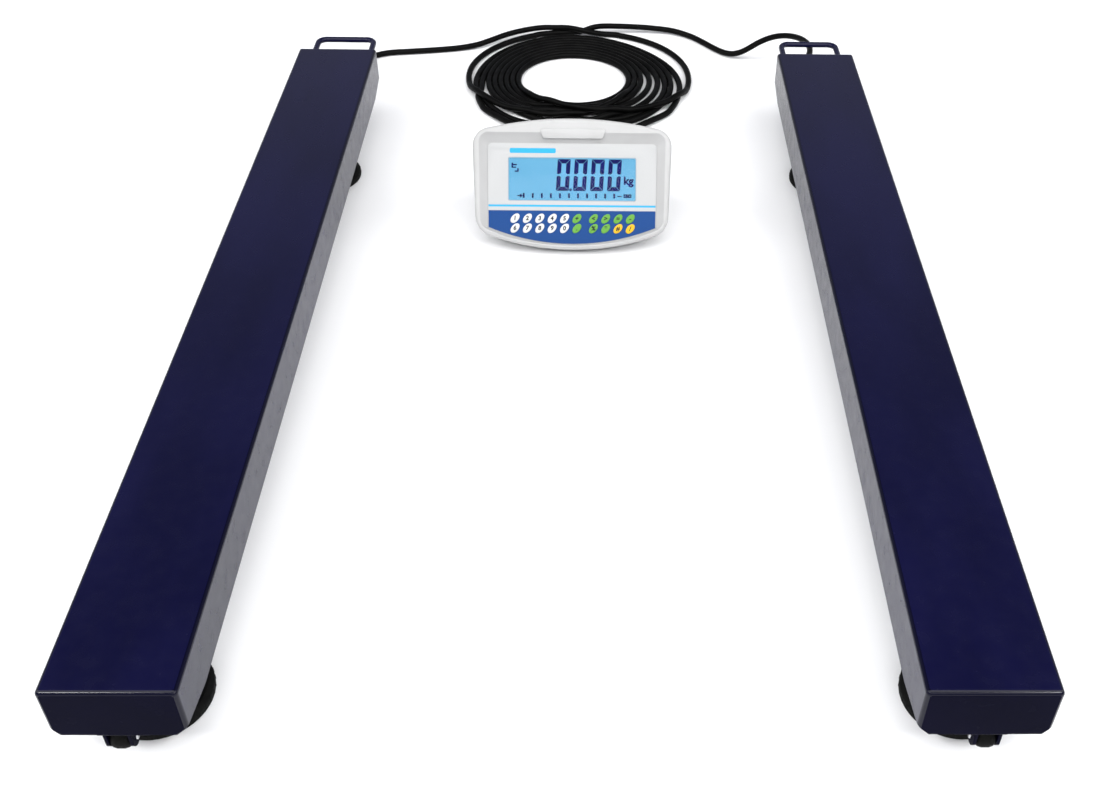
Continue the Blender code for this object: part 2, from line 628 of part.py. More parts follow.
def rear_shell(parent):
    """The deep back of the case, standing on its flat base, open towards the front shell."""
    depth = RIM_DEPTH + GAP
    back = bpy.data.objects.new("tool_rear_profile", profile_prism(0.2, 0, "rear_profile"))
    hollow = place("rear_hollow", plate(face_outline(0.0060), -0.30, -depth + 0.02, "rear_hollow"),
                   CASE, parent)
    inner = bpy.data.objects.new("tool_rear_inner", profile_prism(0.2, 0.0030, "rear_inner"))
    for tool in (back, inner):
        CUTTERS.objects.link(tool)
        tool.location = (FACE_ORIGIN[0], FACE_ORIGIN[1], 0)
        tool.hide_render = True
        tool.display_type = "WIRE"
    PARTS.objects.unlink(hollow)
    CUTTERS.objects.link(hollow)
    hollow.hide_render = True
    hollow.display_type = "WIRE"
    step = hollow.modifiers.new("shape", "BOOLEAN")
    step.operation, step.object = "INTERSECT", inner
    obj = place("rear_shell", plate(face_outline(0.0030), -0.30, -depth, "rear_shell"), CASE, parent)
    step = obj.modifiers.new("shape", "BOOLEAN")
    step.operation, step.object = "INTERSECT", back
    step = obj.modifiers.new("hollow", "BOOLEAN")
    step.operation, step.object = "DIFFERENCE", hollow


def battery():
    """The rechargeable block that stands on the base, and the two rubber strips under it."""
    x, y = FACE_ORIGIN[0], FACE_ORIGIN[1]
    block = bevelled_box((x - 0.048, y + 0.085, 0.0064), (x + 0.048, y + 0.125, 0.0700), 0.002, 1)
    place("battery", block, CELL_BLOCK)
    half_long, half_wide, thick = 0.085, 0.006, 0.0027
    for name, at in (("rubber_strip_front", 0.045), ("rubber_strip_rear", 0.138)):
        low = (x - half_long, y + at - half_wide, 0)
        high = (x + half_long, y + at + half_wide, thick)
        place(name, bevelled_box(low, high, 0.0008, 1), RUBBER)


# ---------------------------------------------------------------- the whole scale
def build():
    beam("left", -1)
    beam("right", 1)
    cables()
    plug("left_plug", LEFT_LEAD[-1][0])
    plug("right_plug", RIGHT_LEAD[-1][0])
    indicator()


build()
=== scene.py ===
"""Looks of the pallet scale: fine meshes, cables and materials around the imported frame.

Metres, +Z up, the floor at Z = 0. The beams lie along +Y and X = 0 is midway between them.
"""

import math

import bmesh
import bpy
import numpy as np
from mathutils import Matrix, Vector
from mathutils.geometry import tessellate_polygon


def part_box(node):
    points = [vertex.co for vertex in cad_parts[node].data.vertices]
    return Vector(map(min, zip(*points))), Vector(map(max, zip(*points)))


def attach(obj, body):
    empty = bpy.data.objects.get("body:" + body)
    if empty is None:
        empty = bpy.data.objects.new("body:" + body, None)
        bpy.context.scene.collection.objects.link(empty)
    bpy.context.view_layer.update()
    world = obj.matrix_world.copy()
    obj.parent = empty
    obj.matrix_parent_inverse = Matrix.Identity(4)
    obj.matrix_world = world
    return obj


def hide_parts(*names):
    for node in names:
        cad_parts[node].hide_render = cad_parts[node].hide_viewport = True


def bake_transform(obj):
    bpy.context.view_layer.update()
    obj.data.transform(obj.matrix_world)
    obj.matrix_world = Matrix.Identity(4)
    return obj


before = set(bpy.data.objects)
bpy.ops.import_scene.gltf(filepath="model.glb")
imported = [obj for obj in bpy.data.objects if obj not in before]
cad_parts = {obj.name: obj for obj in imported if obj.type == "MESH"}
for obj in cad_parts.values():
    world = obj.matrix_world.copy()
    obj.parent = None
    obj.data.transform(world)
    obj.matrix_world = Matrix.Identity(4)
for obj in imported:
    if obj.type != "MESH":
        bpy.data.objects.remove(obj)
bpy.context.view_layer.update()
SIDES = {"left": -1, "right": 1}

# ---------------------------------------------------------------- driving sizes
WALL = 0.003
FOLD_RADIUS = 0.0045
INNER_CUT, OUTER_CUT = 0.0115, 0.0085
CUT_ALONG, CUT_UP = 0.055, 0.0115
PAD_RADIUS = 0.0505
STUD_RADIUS = 0.008
ROD_RADIUS = 0.0045
CABLE_RADIUS = 0.005
COIL_CENTRE = (0.001, 0.685)
GLAND_Z = 0.08

FACE_LEAN = math.radians(36)
FACE_ORIGIN = (-0.002, 0.1645, 0.014)
FACE_HEIGHT = 0.181
RIM_DEPTH = 0.02
FLOOR_DEPTH = 0.006
FACE = Matrix.Translation(FACE_ORIGIN) @ Matrix.Rotation(math.pi / 2 - FACE_LEAN, 4, "X")
REAR_WALL = 0.153
PLUG_X, PLUG_Z = {"left": -0.037, "right": 0.033}, 0.02
KEY_ROWS = {"lower": 0.0294, "upper": 0.0431}
KEY_COLUMNS = (-0.0792, -0.062, -0.0448, -0.0276, -0.0104, 0.0068, 0.0298, 0.0469, 0.064, 0.0811)
KEY_LONG, KEY_SHORT = 0.0078, 0.0048
KEY_SLANT = math.radians(48)
WINDOW = ((-0.0876, 0.0688), (0.0876, 0.1263))
SMILE_POINTS = 41               # along the lower edge of the sunk face
SAME = 1e-6                     # lengths that differ by less are the same

# The cables' routes, as the frame has them.
LEFT_ROUTE = [
    (-0.3765, 0.5903, 0.08), (-0.3765, 0.615, 0.078), (-0.3765, 0.65, 0.064),
    (-0.3768, 0.685, 0.04), (-0.3762, 0.717, 0.018), (-0.372, 0.744, 0.0075),
    (-0.359, 0.766, 0.0054), (-0.336, 0.778, 0.0053), (-0.3, 0.784, 0.0053),
    (-0.256, 0.791, 0.0053), (-0.218, 0.799, 0.0053), (-0.185, 0.809, 0.007),
    (-0.162, 0.8215, 0.0095), (-0.128, 0.843, 0.013), (-0.086, 0.861, 0.015),
    (-0.04, 0.8705, 0.016),
]
RIGHT_ROUTE = [
    (0.3765, 0.5903, 0.08), (0.3767, 0.6085, 0.08), (0.3796, 0.63, 0.0799),
    (0.3846, 0.653, 0.0788), (0.3858, 0.679, 0.0763), (0.3807, 0.705, 0.0725),
    (0.3707, 0.728, 0.0672), (0.3571, 0.748, 0.06), (0.3424, 0.762, 0.0518),
    (0.327, 0.7705, 0.0425), (0.3115, 0.7738, 0.0325), (0.2975, 0.774, 0.023),
    (0.2845, 0.7758, 0.0148), (0.2707, 0.7808, 0.009), (0.256, 0.7918, 0.006),
    (0.24, 0.809, 0.0053), (0.221, 0.833, 0.0053), (0.2, 0.856, 0.0056),
    (0.168, 0.874, 0.0075), (0.13, 0.879, 0.01), (0.099, 0.879, 0.012),
    (0.064, 0.877, 0.014), (0.03, 0.8725, 0.016),
]
LEFT_LEAD = [
    (-0.1085, 0.5262, 0.0085), (-0.089, 0.511, 0.008), (-0.069, 0.493, 0.006),
    (-0.052, 0.47, 0.0054), (-0.04, 0.442, 0.0058), (-0.037, 0.412, 0.011),
    (-0.037, 0.385, 0.0176), (-0.037, 0.372, 0.0199), (-0.037, 0.3603, 0.02),
]
RIGHT_LEAD = [(-x - 0.004, y, z) for x, y, z in LEFT_LEAD]


# ---------------------------------------------------------------- camera, lights and floor
CAMERA_PLACE = (0.035738, -1.275815, 1.019716)
CAMERA_RIGHT = Vector((0.999746, -0.013299, 0.018175))
CAMERA_DOWN = Vector((0.005568, -0.636025, -0.771648))
CAMERA_FORWARD = Vector((0.021822, 0.771554, -0.63579))
LENS, SHIFT = 41.19, (-0.069, -0.0414)

# Each light's name, place, target, size and watts.
LIGHTS = [
    ("overhead", (0, -1.1, 3.4), (0, -0.1, 0), (5.0, 2.6), 165),
    ("left_fill", (-3.2, -0.2, 2.2), (0, 0.2, 0), (2.6, 2.0), 62),
    ("right_fill", (3.2, -0.2, 2.2), (0, 0.2, 0), (2.6, 2.0), 62),
    ("left_key", (-1.6, -2.3, 2.5), (0, -0.4, 0), (0.4, 0.25), 30),
    ("right_key", (1.6, -2.3, 2.5), (0, -0.4, 0), (0.4, 0.25), 30),
    ("front_fill", (0.4, -3.4, 2.2), (0, 0.1, 0), (3.0, 1.6), 30),
]
SEEN_SURROUND = (0.93, 0.94, 0.95, 1)
# The light of the surround by height, from low to overhead.
SKY = [(0.0, (0.52, 0.54, 0.6)), (0.4, (0.46, 0.47, 0.52)), (0.56, (0.34, 0.35, 0.39)),
       (0.8, (0.08, 0.08, 0.1))]
FLOOR_HALF, FLOOR_DROP = 9, 0.0004


def in_scene(name, data):
    """A new object in the scene."""
    obj = bpy.data.objects.new(name, data)
    bpy.context.scene.collection.objects.link(obj)
    return obj


def camera():
    """The viewpoint: above and in front of the near ends, looking down along the beams."""
    data = bpy.data.cameras.new("camera")
    data.lens = LENS
    data.sensor_width = 36
    data.shift_x, data.shift_y = SHIFT
    data.clip_end = 50
    turn = Matrix((CAMERA_RIGHT, -CAMERA_DOWN, -CAMERA_FORWARD)).transposed().to_4x4()
    obj = in_scene("camera", data)
    obj.matrix_world = Matrix.Translation(CAMERA_PLACE) @ turn
    bpy.context.scene.camera = obj


def area_light(name, location, target, size, power):
    data = bpy.data.lights.new(name, "AREA")
    data.shape = "RECTANGLE"
    data.size, data.size_y = size
    data.energy = power
    obj = in_scene(name, data)
    obj.location = location
    obj.rotation_euler = (Vector(target) - Vector(location)).to_track_quat("-Z", "Y").to_euler()


def studio():
    """Soft light from above and the sides, a surround that is dim overhead, and a plain pale floor."""
    bpy.context.scene.view_settings.view_transform = "Standard"
    world = bpy.data.worlds.new("studio")
    bpy.context.scene.world = world
    world.use_nodes = True
    tree = world.node_tree
    nodes, links = tree.nodes, tree.links
    nodes.clear()
    out = nodes.new("ShaderNodeOutputWorld")
    seen = nodes.new("ShaderNodeBackground")
    seen.inputs["Color"].default_value = SEEN_SURROUND
    lit = nodes.new("ShaderNodeBackground")
    coords = nodes.new("ShaderNodeTexCoord")
    height = nodes.new("ShaderNodeSeparateXYZ")
    links.new(coords.outputs["Generated"], height.inputs["Vector"])
    links.new(ramp(tree, height.outputs["Z"], SKY), lit.inputs["Color"])
    rays = nodes.new("ShaderNodeLightPath")
    mix = nodes.new("ShaderNodeMixShader")
    links.new(rays.outputs["Is Camera Ray"], mix.inputs["Fac"])
    links.new(lit.outputs[0], mix.inputs[1])
    links.new(seen.outputs[0], mix.inputs[2])
    links.new(mix.outputs[0], out.inputs["Surface"])
    for light in LIGHTS:
        area_light(*light)
    bm = bmesh.new()
    bmesh.ops.create_grid(bm, x_segments=8, y_segments=8, size=FLOOR_HALF)
    mesh = bpy.data.meshes.new("floor")
    bm.to_mesh(mesh)
    bm.free()
    mesh.materials.append(FLOOR)
    floor = in_scene("floor", mesh)
    floor.location.z = -FLOOR_DROP


# ---------------------------------------------------------------- materials
def noise(tree, scale, detail=2.0, stretch=None, seed=0.0):
    """Solid noise in the piece's own metres."""
    coords = tree.nodes.new("ShaderNodeTexCoord")
    texture = tree.nodes.new("ShaderNodeTexNoise")
    texture.inputs["Scale"].default_value = scale
    texture.inputs["Detail"].default_value = detail
    mapping = tree.nodes.new("ShaderNodeMapping")
    mapping.inputs["Location"].default_value = (seed, seed, seed)
    if stretch:
        mapping.inputs["Scale"].default_value = stretch
    tree.links.new(coords.outputs["Object"], mapping.inputs["Vector"])
    tree.links.new(mapping.outputs["Vector"], texture.inputs["Vector"])
    return texture.outputs["Fac"]


def ramp(tree, source, stops):
    """A colour or value ramp from (position, value) stops."""
    node = tree.nodes.new("ShaderNodeValToRGB")
    tree.links.new(source, node.inputs["Fac"])
    elements = node.color_ramp.elements
    while len(elements) < len(stops):
        elements.new(0.5)
    for element, (at, value) in zip(elements, stops):
        element.position = at
        element.color = (*value, 1) if isinstance(value, tuple) else (value, value, value, 1)
    return node.outputs["Color"]


def surface(name, dark, light, mottle, roughness, grain=(), span=(0.35, 0.65), **inputs):
    """A material whose colour drifts between dark and light.

    mottle holds the arguments of the colour's noise. roughness is one value, or a low and a high
    one with their noise's arguments. Each layer of grain is (height, strength, noise arguments).
    """
    made = bpy.data.materials.new(name)
    made.use_nodes = True
    tree = made.node_tree
    shader = tree.nodes["Principled BSDF"]
    shader.inputs["Base Color"].default_value = (*light, 1)
    for key, value in inputs.items():
        shader.inputs[key.replace("_", " ")].default_value = value
    stops = list(zip(span, (dark, light)))
    tree.links.new(ramp(tree, noise(tree, *mottle), stops), shader.inputs["Base Color"])
    if isinstance(roughness, tuple):
        low, high, *source = roughness
        shader.inputs["Roughness"].default_value = low
        spread = ramp(tree, noise(tree, *source), [(0.3, low), (0.7, high)])
        tree.links.new(spread, shader.inputs["Roughness"])
    else:
        shader.inputs["Roughness"].default_value = roughness
    under = None
    for distance, strength, *source in grain:
        node = tree.nodes.new("ShaderNodeBump")
        node.inputs["Distance"].default_value = distance
        node.inputs["Strength"].default_value = strength
        tree.links.new(noise(tree, *source), node.inputs["Height"])
        if under:
            tree.links.new(under, node.inputs["Normal"])
        under = node.outputs["Normal"]
    if under:
        tree.links.new(under, shader.inputs["Normal"])
    return made


def paint(name, dark, light, ior, rough=(0.2, 0.29)):
    """Gloss navy powder coat: orange peel, a finer ripple and faint cloudiness."""
    orange_peel = [(0.00002, 0.3, 330.0, 1.0), (0.000012, 0.3, 1300.0, 1.0, None, 7.0)]
    cloud = (9.0, 4.0, (1, 0.35, 1))
    return surface(name, dark, light, cloud, (*rough, 60.0, 3.0, None, 3.0), orange_peel, IOR=ior)


def plastic(name, dark, light):
    """Off-white moulded plastic with a fine spark-eroded grain."""
    return surface(name, dark, light, (25.0, 3.0), 0.42, [(0.00003, 0.6, 2600.0, 2.0)], IOR=1.45)


def film(name, dark, light):
    """A screen-printed film under a satin clear face."""
    grain = [(0.00001, 0.5, 3500.0, 1.0)]
    return surface(name, dark, light, (1600.0, 2.0), 0.32, grain, (0.3, 0.6), IOR=1.25)


def ink(name, colour):
    light = tuple(min(1.0, c * 1.5 + 0.002) for c in colour)
    return surface(name, colour, light, (2200.0, 2.0), 0.55, IOR=1.12)


def backlight():
    """The lit display: pale blue, a little deeper in places."""
    made = surface("lcd_backlight", (0.02, 0.05, 0.09), (0.02, 0.05, 0.09), (14.0, 2.0), 0.5, IOR=1.2)
    tree = made.node_tree
    shader = tree.nodes["Principled BSDF"]
    glow = ramp(tree, noise(tree, 14.0, 2.0), [(0.3, (0.135, 0.43, 0.655)), (0.7, (0.163, 0.48, 0.71))])
    tree.links.new(glow, shader.inputs["Emission Color"])
    shader.inputs["Emission Strength"].default_value = 1.0
    return made


FLOOR = surface("pale_floor", (0.855, 0.857, 0.86), (0.865, 0.866, 0.868), (3.0,), 0.9, IOR=1.2)
PAINT = paint("navy_powder_coat", (0.0017, 0.0018, 0.016), (0.0032, 0.0032, 0.024), 1.28)
# Darker copies of the same navy paint for the end plates and the folds: painted shade. The end plates' copy
# also reflects less.
SHADED_END_PAINT = paint("navy_end_plates_painted_shade", (0.0016, 0.0016, 0.008), (0.0024, 0.0023, 0.011), 1.06)
SHADED_FOLD_PAINT = paint("navy_folds_painted_shade", (0.0012, 0.0012, 0.008), (0.0018, 0.0018, 0.01), 1.26, (0.12, 0.15))
ZINC = surface("bright_zinc", (0.52, 0.53, 0.55), (0.68, 0.69, 0.7), (900.0, 3.0),
               (0.22, 0.4, 400.0, 2.0, None, 1.0), Metallic=1.0)
MILL_LINES = (600.0, 2.0, (1.0, 6.0, 1.0))
ALLOY = surface("machined_alloy", (0.62, 0.63, 0.65), (0.76, 0.77, 0.79), MILL_LINES,
                (0.22, 0.38, *MILL_LINES), [(0.00002, 0.5, *MILL_LINES)], Metallic=1.0)
RUBBER = surface("black_rubber", (0.002, 0.002, 0.002), (0.0045, 0.0045, 0.0042), (120.0, 4.0),
                 (0.52, 0.72, 500.0, 2.0, None, 2.0), [(0.00003, 0.7, 2400.0, 2.0)], IOR=1.16)
NYLON = surface("black_nylon", (0.006, 0.006, 0.0065), (0.011, 0.011, 0.012), (300.0, 2.0), 0.42,
                [(0.00002, 0.6, 3000.0, 1.0)], IOR=1.4)
SHEATH = surface("cable_sheath", (0.001, 0.001, 0.001), (0.0028, 0.0028, 0.0026), (45.0, 3.0),
                 (0.36, 0.55, 90.0, 3.0, None, 5.0), [(0.00002, 0.5, 1800.0, 1.0)], IOR=1.14)
GLASS = surface("clear_window", (0.98, 0.99, 1.0), (0.98, 0.99, 1.0), (60.0, 3.0),
                (0.015, 0.06, 60.0, 3.0), IOR=1.18, Transmission_Weight=1.0)
BOARD = surface("solder_mask", (0.01, 0.12, 0.04), (0.03, 0.24, 0.09), (350.0, 1.0, (1.0, 0.25, 1.0)),
                0.35, span=(0.48, 0.52))
BATTERY = surface("battery_case", (0.075, 0.075, 0.08), (0.11, 0.11, 0.12), (200.0, 3.0), 0.5,
                  [(0.00004, 0.6, 1500.0, 2.0)])
PLASTIC = plastic("white_plastic", (0.358, 0.358, 0.354), (0.38, 0.38, 0.378))
# A darker copy of the white plastic for the slanted walls of the recess: painted shade.
SHADED_RECESS = plastic("white_recess_painted_shade", (0.33, 0.33, 0.327), (0.35, 0.35, 0.348))
FILM_WHITE = film("film_white", (0.37, 0.374, 0.374), (0.39, 0.394, 0.394))
FILM_BLUE = film("film_blue", (0.0046, 0.038, 0.15), (0.006, 0.045, 0.176))
FILM_CYAN = film("film_cyan", (0.02, 0.27, 0.48), (0.03, 0.31, 0.53))
FILM_GREY = film("film_grey", (0.2, 0.25, 0.3), (0.25, 0.3, 0.35))
BACKLIGHT = backlight()
LCD_INK = ink("lcd_ink", (0.006, 0.007, 0.08))
LEGEND = ink("legend_ink", (0.012, 0.014, 0.02))
KEY_FILMS = {
    "key_white": film("key_white_film", (0.48, 0.48, 0.475), (0.52, 0.52, 0.515)),
    "key_green": film("key_green_film", (0.085, 0.235, 0.035), (0.105, 0.275, 0.045)),
    "key_yellow": film("key_yellow_film", (0.52, 0.3, 0.012), (0.58, 0.35, 0.02)),
}


# ---------------------------------------------------------------- mesh helpers
def piece(name, bm, material, body, replaces=(), angle=35, matrix=None, normals=True):
    """A finished object from a bmesh, riding on its body if it has one. Several materials may be given."""
    if normals:
        bmesh.ops.recalc_face_normals(bm, faces=bm.faces)
    if matrix:
        bmesh.ops.transform(bm, matrix=matrix, verts=bm.verts)
    mesh = bpy.data.meshes.new(name)
    bm.to_mesh(mesh)
    bm.free()
    for one in material if isinstance(material, list) else [material]:
        mesh.materials.append(one)
    mesh.shade_smooth()
    mesh.set_sharp_from_angle(angle=math.radians(angle))
    obj = in_scene(name, mesh)
    if body:
        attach(obj, body)
    if replaces:
        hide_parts(*replaces)
    return obj


def ring_verts(bm, points):
    return [bm.verts.new(p) for p in points]


def bridge(bm, a, b, material=0):
    """Quads between two closed rings of equally many vertices."""
    for i in range(len(a)):
        j = (i + 1) % len(a)
        bm.faces.new((a[i], a[j], b[j], b[i])).material_index = material


def loft(bm, rings, capped=True, material=0):
    """A skin over successive closed rings of points."""
    made = [ring_verts(bm, ring) for ring in rings]
    for a, b in zip(made, made[1:]):
        bridge(bm, a, b, material)
    if capped:
        bm.faces.new(list(reversed(made[0])))
        bm.faces.new(made[-1])
    return made


def fill_between(bm, outer, inner):
    """Triangles between an outer and an inner ring of vertices in one plane."""
    both = [*outer, *inner]
    for triangle in tessellate_polygon([[v.co for v in outer], [v.co for v in inner]]):
        bm.faces.new([both[i] for i in triangle])


def around(count):
    """The angles of a full turn in equal steps."""
    return [2 * math.pi * i / count for i in range(count)]


def lathe(bm, profile, segments=48, matrix=None):
    """A turned solid from (radius, height) points; a radius of 0 closes an end."""
    rings = []
    for radius, height in profile:
        if radius == 0:
            rings.append([bm.verts.new((0, 0, height))])
        else:
            circle = [(radius * math.cos(a), radius * math.sin(a), height) for a in around(segments)]
            rings.append(ring_verts(bm, circle))
    for a, b in zip(rings, rings[1:]):
        for i in range(segments):
            j = (i + 1) % segments
            corners = [a[i % len(a)], a[j % len(a)], b[j % len(b)], b[i % len(b)]]
            used = list(dict.fromkeys(corners))
            if len(used) > 2:
                bm.faces.new(used)
    if matrix:
        bmesh.ops.transform(bm, matrix=matrix, verts=[v for ring in rings for v in ring])


def rounded_profile(corners, steps=4):
    """A (radius, height) profile from corners with fillets: (radius, height, fillet)."""
    points = []
    for i, (r, h, fillet) in enumerate(corners):
        here = Vector((r, h))
        if fillet == 0 or i in (0, len(corners) - 1):
            points.append((r, h))
            continue
        before = (Vector(corners[i - 1][:2]) - here).normalized()
        after = (Vector(corners[i + 1][:2]) - here).normalized()
        half = before.angle(after) / 2
        reach = fillet / math.tan(half)
        start, end = here + before * reach, here + after * reach
        for k in range(steps + 1):
            t = k / steps
            points.append(tuple(start * (1 - t) ** 2 + here * (2 * t * (1 - t)) + end * t * t))
    return points


def sweep(bm, points, radii, sides):
    """A capped tube along points; radii is one number or one for each point."""
    points = [Vector(p) for p in points]
    if not isinstance(radii, list):
        radii = [radii] * len(points)
    ahead = (points[1] - points[0]).normalized()
    side = ahead.orthogonal().normalized()
    rings = []
    for i, (p, r) in enumerate(zip(points, radii)):
        follow = (points[min(i + 1, len(points) - 1)] - points[max(i - 1, 0)]).normalized()
        side = ahead.rotation_difference(follow) @ side
        side = (side - follow * side.dot(follow)).normalized()
        ahead = follow
        up = follow.cross(side)
        rings.append([p + side * (r * math.cos(a)) + up * (r * math.sin(a)) for a in around(sides)])
    loft(bm, rings)


def soften(bm, edges, width, segments=2, clamped=False):
    """Rounds edges off, over a width to each side."""
    bmesh.ops.bevel(bm, geom=edges, offset=width, segments=segments, affect="EDGES", profile=0.5,
                    clamp_overlap=clamped)


def box(bm, low, high, bevel=0.0, segments=2):
    """A block between two corners."""
    low, high = Vector(low), Vector(high)
    made = bmesh.ops.create_cube(bm, size=1)["verts"]
    bmesh.ops.scale(bm, vec=high - low, verts=made)
    bmesh.ops.translate(bm, vec=(high + low) / 2, verts=made)
    if bevel:
        soften(bm, list({e for v in made for e in v.link_edges}), bevel, segments)


def hexagon(bm, across, low, high, matrix):
    """A hexagon nut or head with chamfered rims, about Z."""
    corner = across / math.sqrt(3)
    chamfer = (high - low) * 0.14
    rings = []
    for z, grow in ((low, 0.93), (low + chamfer, 1.0), (high - chamfer, 1.0), (high, 0.93)):
        rings.append([(corner * grow * math.cos(a), corner * grow * math.sin(a), z) for a in around(6)])
    made = loft(bm, rings)
    bmesh.ops.transform(bm, matrix=matrix, verts=[v for ring in made for v in ring])


def merge(bm, other, material=None):
    """Adds another bmesh's faces to bm."""
    if material is not None:
        for face in other.faces:
            face.material_index = material
    mesh = bpy.data.meshes.new("merge")
    other.to_mesh(mesh)
    other.free()
    bm.from_mesh(mesh)
    bpy.data.meshes.remove(mesh)


def ribs(bm, count, place, low, high, bevel):
    """Bars in a ring about an axis, the first one between low and high."""
    for angle in around(count):
        rib = bmesh.new()
        box(rib, low, high, bevel, 1)
        bmesh.ops.transform(rib, matrix=place @ Matrix.Rotation(angle, 4, "Z"), verts=rib.verts)
        merge(bm, rib)


def along_x(x, y, z):
    return Matrix.Translation((x, y, z)) @ Matrix.Rotation(math.pi / 2, 4, "Y")


def along_y(x, y, z):
    return Matrix.Translation((x, y, z)) @ Matrix.Rotation(-math.pi / 2, 4, "X")


# ---------------------------------------------------------------- cables
# Each cable's turns in its coil, outside in and out again: half widths across and along, and centre.
LEFT_TURNS = [
    (0.182, 0.172, 0.004, 0.7), (0.0965, 0.093, -0.011, 0.688), (0.1165, 0.113, -0.01, 0.688),
    (0.139, 0.138, -0.002, 0.684), (0.1695, 0.166, 0.0, 0.671),
]
RIGHT_TURNS = [
    (0.181, 0.172, -0.004, 0.7), (0.1065, 0.103, -0.01, 0.688), (0.1265, 0.124, -0.009, 0.687),
    (0.1495, 0.147, -0.002, 0.681), (0.16, 0.157, -0.002, 0.674),
]
STEP = 0.006                    # between the points of a cable
NEAR = 0.016                    # points closer than this are looked at as the cables settle
SINK = 0.00012                  # how far the cables sink in each round
FRONT = -math.pi / 2            # where a turn passes to the next one, behind the indicator
PASSING = math.radians(50)      # half the angle a turn takes to do so
LEAVING = math.radians(80)      # the last stretch of a coil, which eases out to its lead


def coil_turns(turns, start, end, spin, lift, wobble):
    """Points of a coil that spins from one point round to another, its turns one after the other."""
    centre = Vector(COIL_CENTRE)
    first = math.atan2(start[1] - centre.y, start[0] - centre.x)
    last = math.atan2(end[1] - centre.y, end[0] - centre.x)
    whole = (last - first) * spin % (2 * math.pi) + 2 * math.pi * (len(turns) - 1)
    to_front = (FRONT - first) * spin % (2 * math.pi)
    if whole - 2 * math.pi * (len(turns) - 1) > to_front:
        whole -= 2 * math.pi
    count = round(whole / math.radians(7))
    points = []
    for i in range(4, count - 2):
        done = whole * i / count
        angle = first + spin * done
        passed = (done - to_front) / (2 * math.pi) + 1
        index = max(0, min(round(passed) - 1, len(turns) - 2))
        near = (done - to_front - 2 * math.pi * index) / PASSING / (1.5 if index == 0 else 1.0)
        t = min(1.0, max(0.0, (near + 1) / 2))
        t = t * t * (3 - 2 * t)
        across, along, x, y = [a * (1 - t) + b * t for a, b in zip(turns[index], turns[index + 1])]
        grow = 1 + wobble * (math.sin(2 * angle + 1.3 * done) + 0.6 * math.sin(3 * angle - 0.9 * done))
        ease = max(0.0, 1 - (whole - done) / LEAVING)
        reach = math.hypot((end[0] - x) / across, (end[1] - y) / along)
        grow += (reach - grow) * ease * ease * (3 - 2 * ease)
        grow -= 1.1 * max(0.0, across - 0.095) * (0 if index == 0 else max(0.0, math.cos(angle - 0.85)) ** 5)
        height = 0.0058 + (0.0125 * (1 - t) if index == 0 else 0)
        height += lift * max(0.0, 1 - near * near) * (1.4 if index == 0 else 1.0)
        points.append((x + across * grow * math.cos(angle), y + along * grow * math.sin(angle), height))
    return points


def even_route(points, spacing):
    """Points a given distance apart on the Catmull-Rom curve through the given points."""
    guide = np.array(points, float)
    padded = np.vstack([2 * guide[0] - guide[1], guide, 2 * guide[-1] - guide[-2]])
    t = np.linspace(0, 1, 17)[:-1, None]
    fine = []
    for a, b, c, d in zip(padded, padded[1:], padded[2:], padded[3:]):
        fine.append(0.5 * (2 * b + (c - a) * t + (2 * a - 5 * b + 4 * c - d) * t ** 2
                           + (3 * b - a - 3 * c + d) * t ** 3))
    fine = np.vstack([*fine, guide[-1:]])
    along = np.concatenate([[0], np.cumsum(np.linalg.norm(np.diff(fine, axis=0), axis=1))])
    at = np.linspace(0, along[-1], round(along[-1] / spacing) + 1)
    return np.stack([np.interp(at, along, fine[:, k]) for k in range(3)], axis=1)


def settle(cords, free, rounds):
    """Lets the cables down onto the floor and each other, a diameter apart, with their ends held."""
    start = np.vstack(cords)
    loose = np.concatenate(free)[:, None]
    cord = np.concatenate([np.full(len(c), i) for i, c in enumerate(cords)])
    index = np.concatenate([np.arange(len(c)) for c in cords])
    first = np.concatenate([[True], cord[1:] != cord[:-1]])
    last = np.concatenate([cord[1:] != cord[:-1], [True]])
    apart = 2 * CABLE_RADIUS + 0.0001
    neighbours = (cord[:, None] == cord) & (np.abs(index[:, None] - index) < 5)
    taken = neighbours | ~np.tri(len(start), k=-1, dtype=bool)
    moved = np.zeros_like(start)
    for step in range(rounds):
        place = start + moved
        if step % 6 == 0:
            square = (place ** 2).sum(1)
            far = square[:, None] + square - 2 * place @ place.T
            a, b = np.nonzero((far < NEAR ** 2) & ~taken)
        gap = place[a] - place[b]
        far = np.sqrt((gap ** 2).sum(1) + 1e-12)
        push = np.maximum(apart - far, 0) / far * 0.3
        shove = gap * push[:, None] * np.array([0.35, 0.35, 1.0])
        moved[:, 2] -= SINK
        for k in range(3):
            moved[:, k] += np.bincount(a, shove[:, k], len(start)) - np.bincount(b, shove[:, k], len(start))
        moved *= np.where(loose > 0, 1, 0)
        for _ in range(4 if step < rounds - 30 else 1):
            before, after = np.roll(moved, 1, axis=0), np.roll(moved, -1, axis=0)
            before[first], after[last] = moved[first], moved[last]
            moved += ((before + after) / 2 - moved) * 0.7 * loose
        moved[:, 2] = np.maximum(moved[:, 2], CABLE_RADIUS + 0.0002 - start[:, 2])
        moved *= loose
    return np.split(start + moved, np.cumsum([len(c) for c in cords])[:-1])


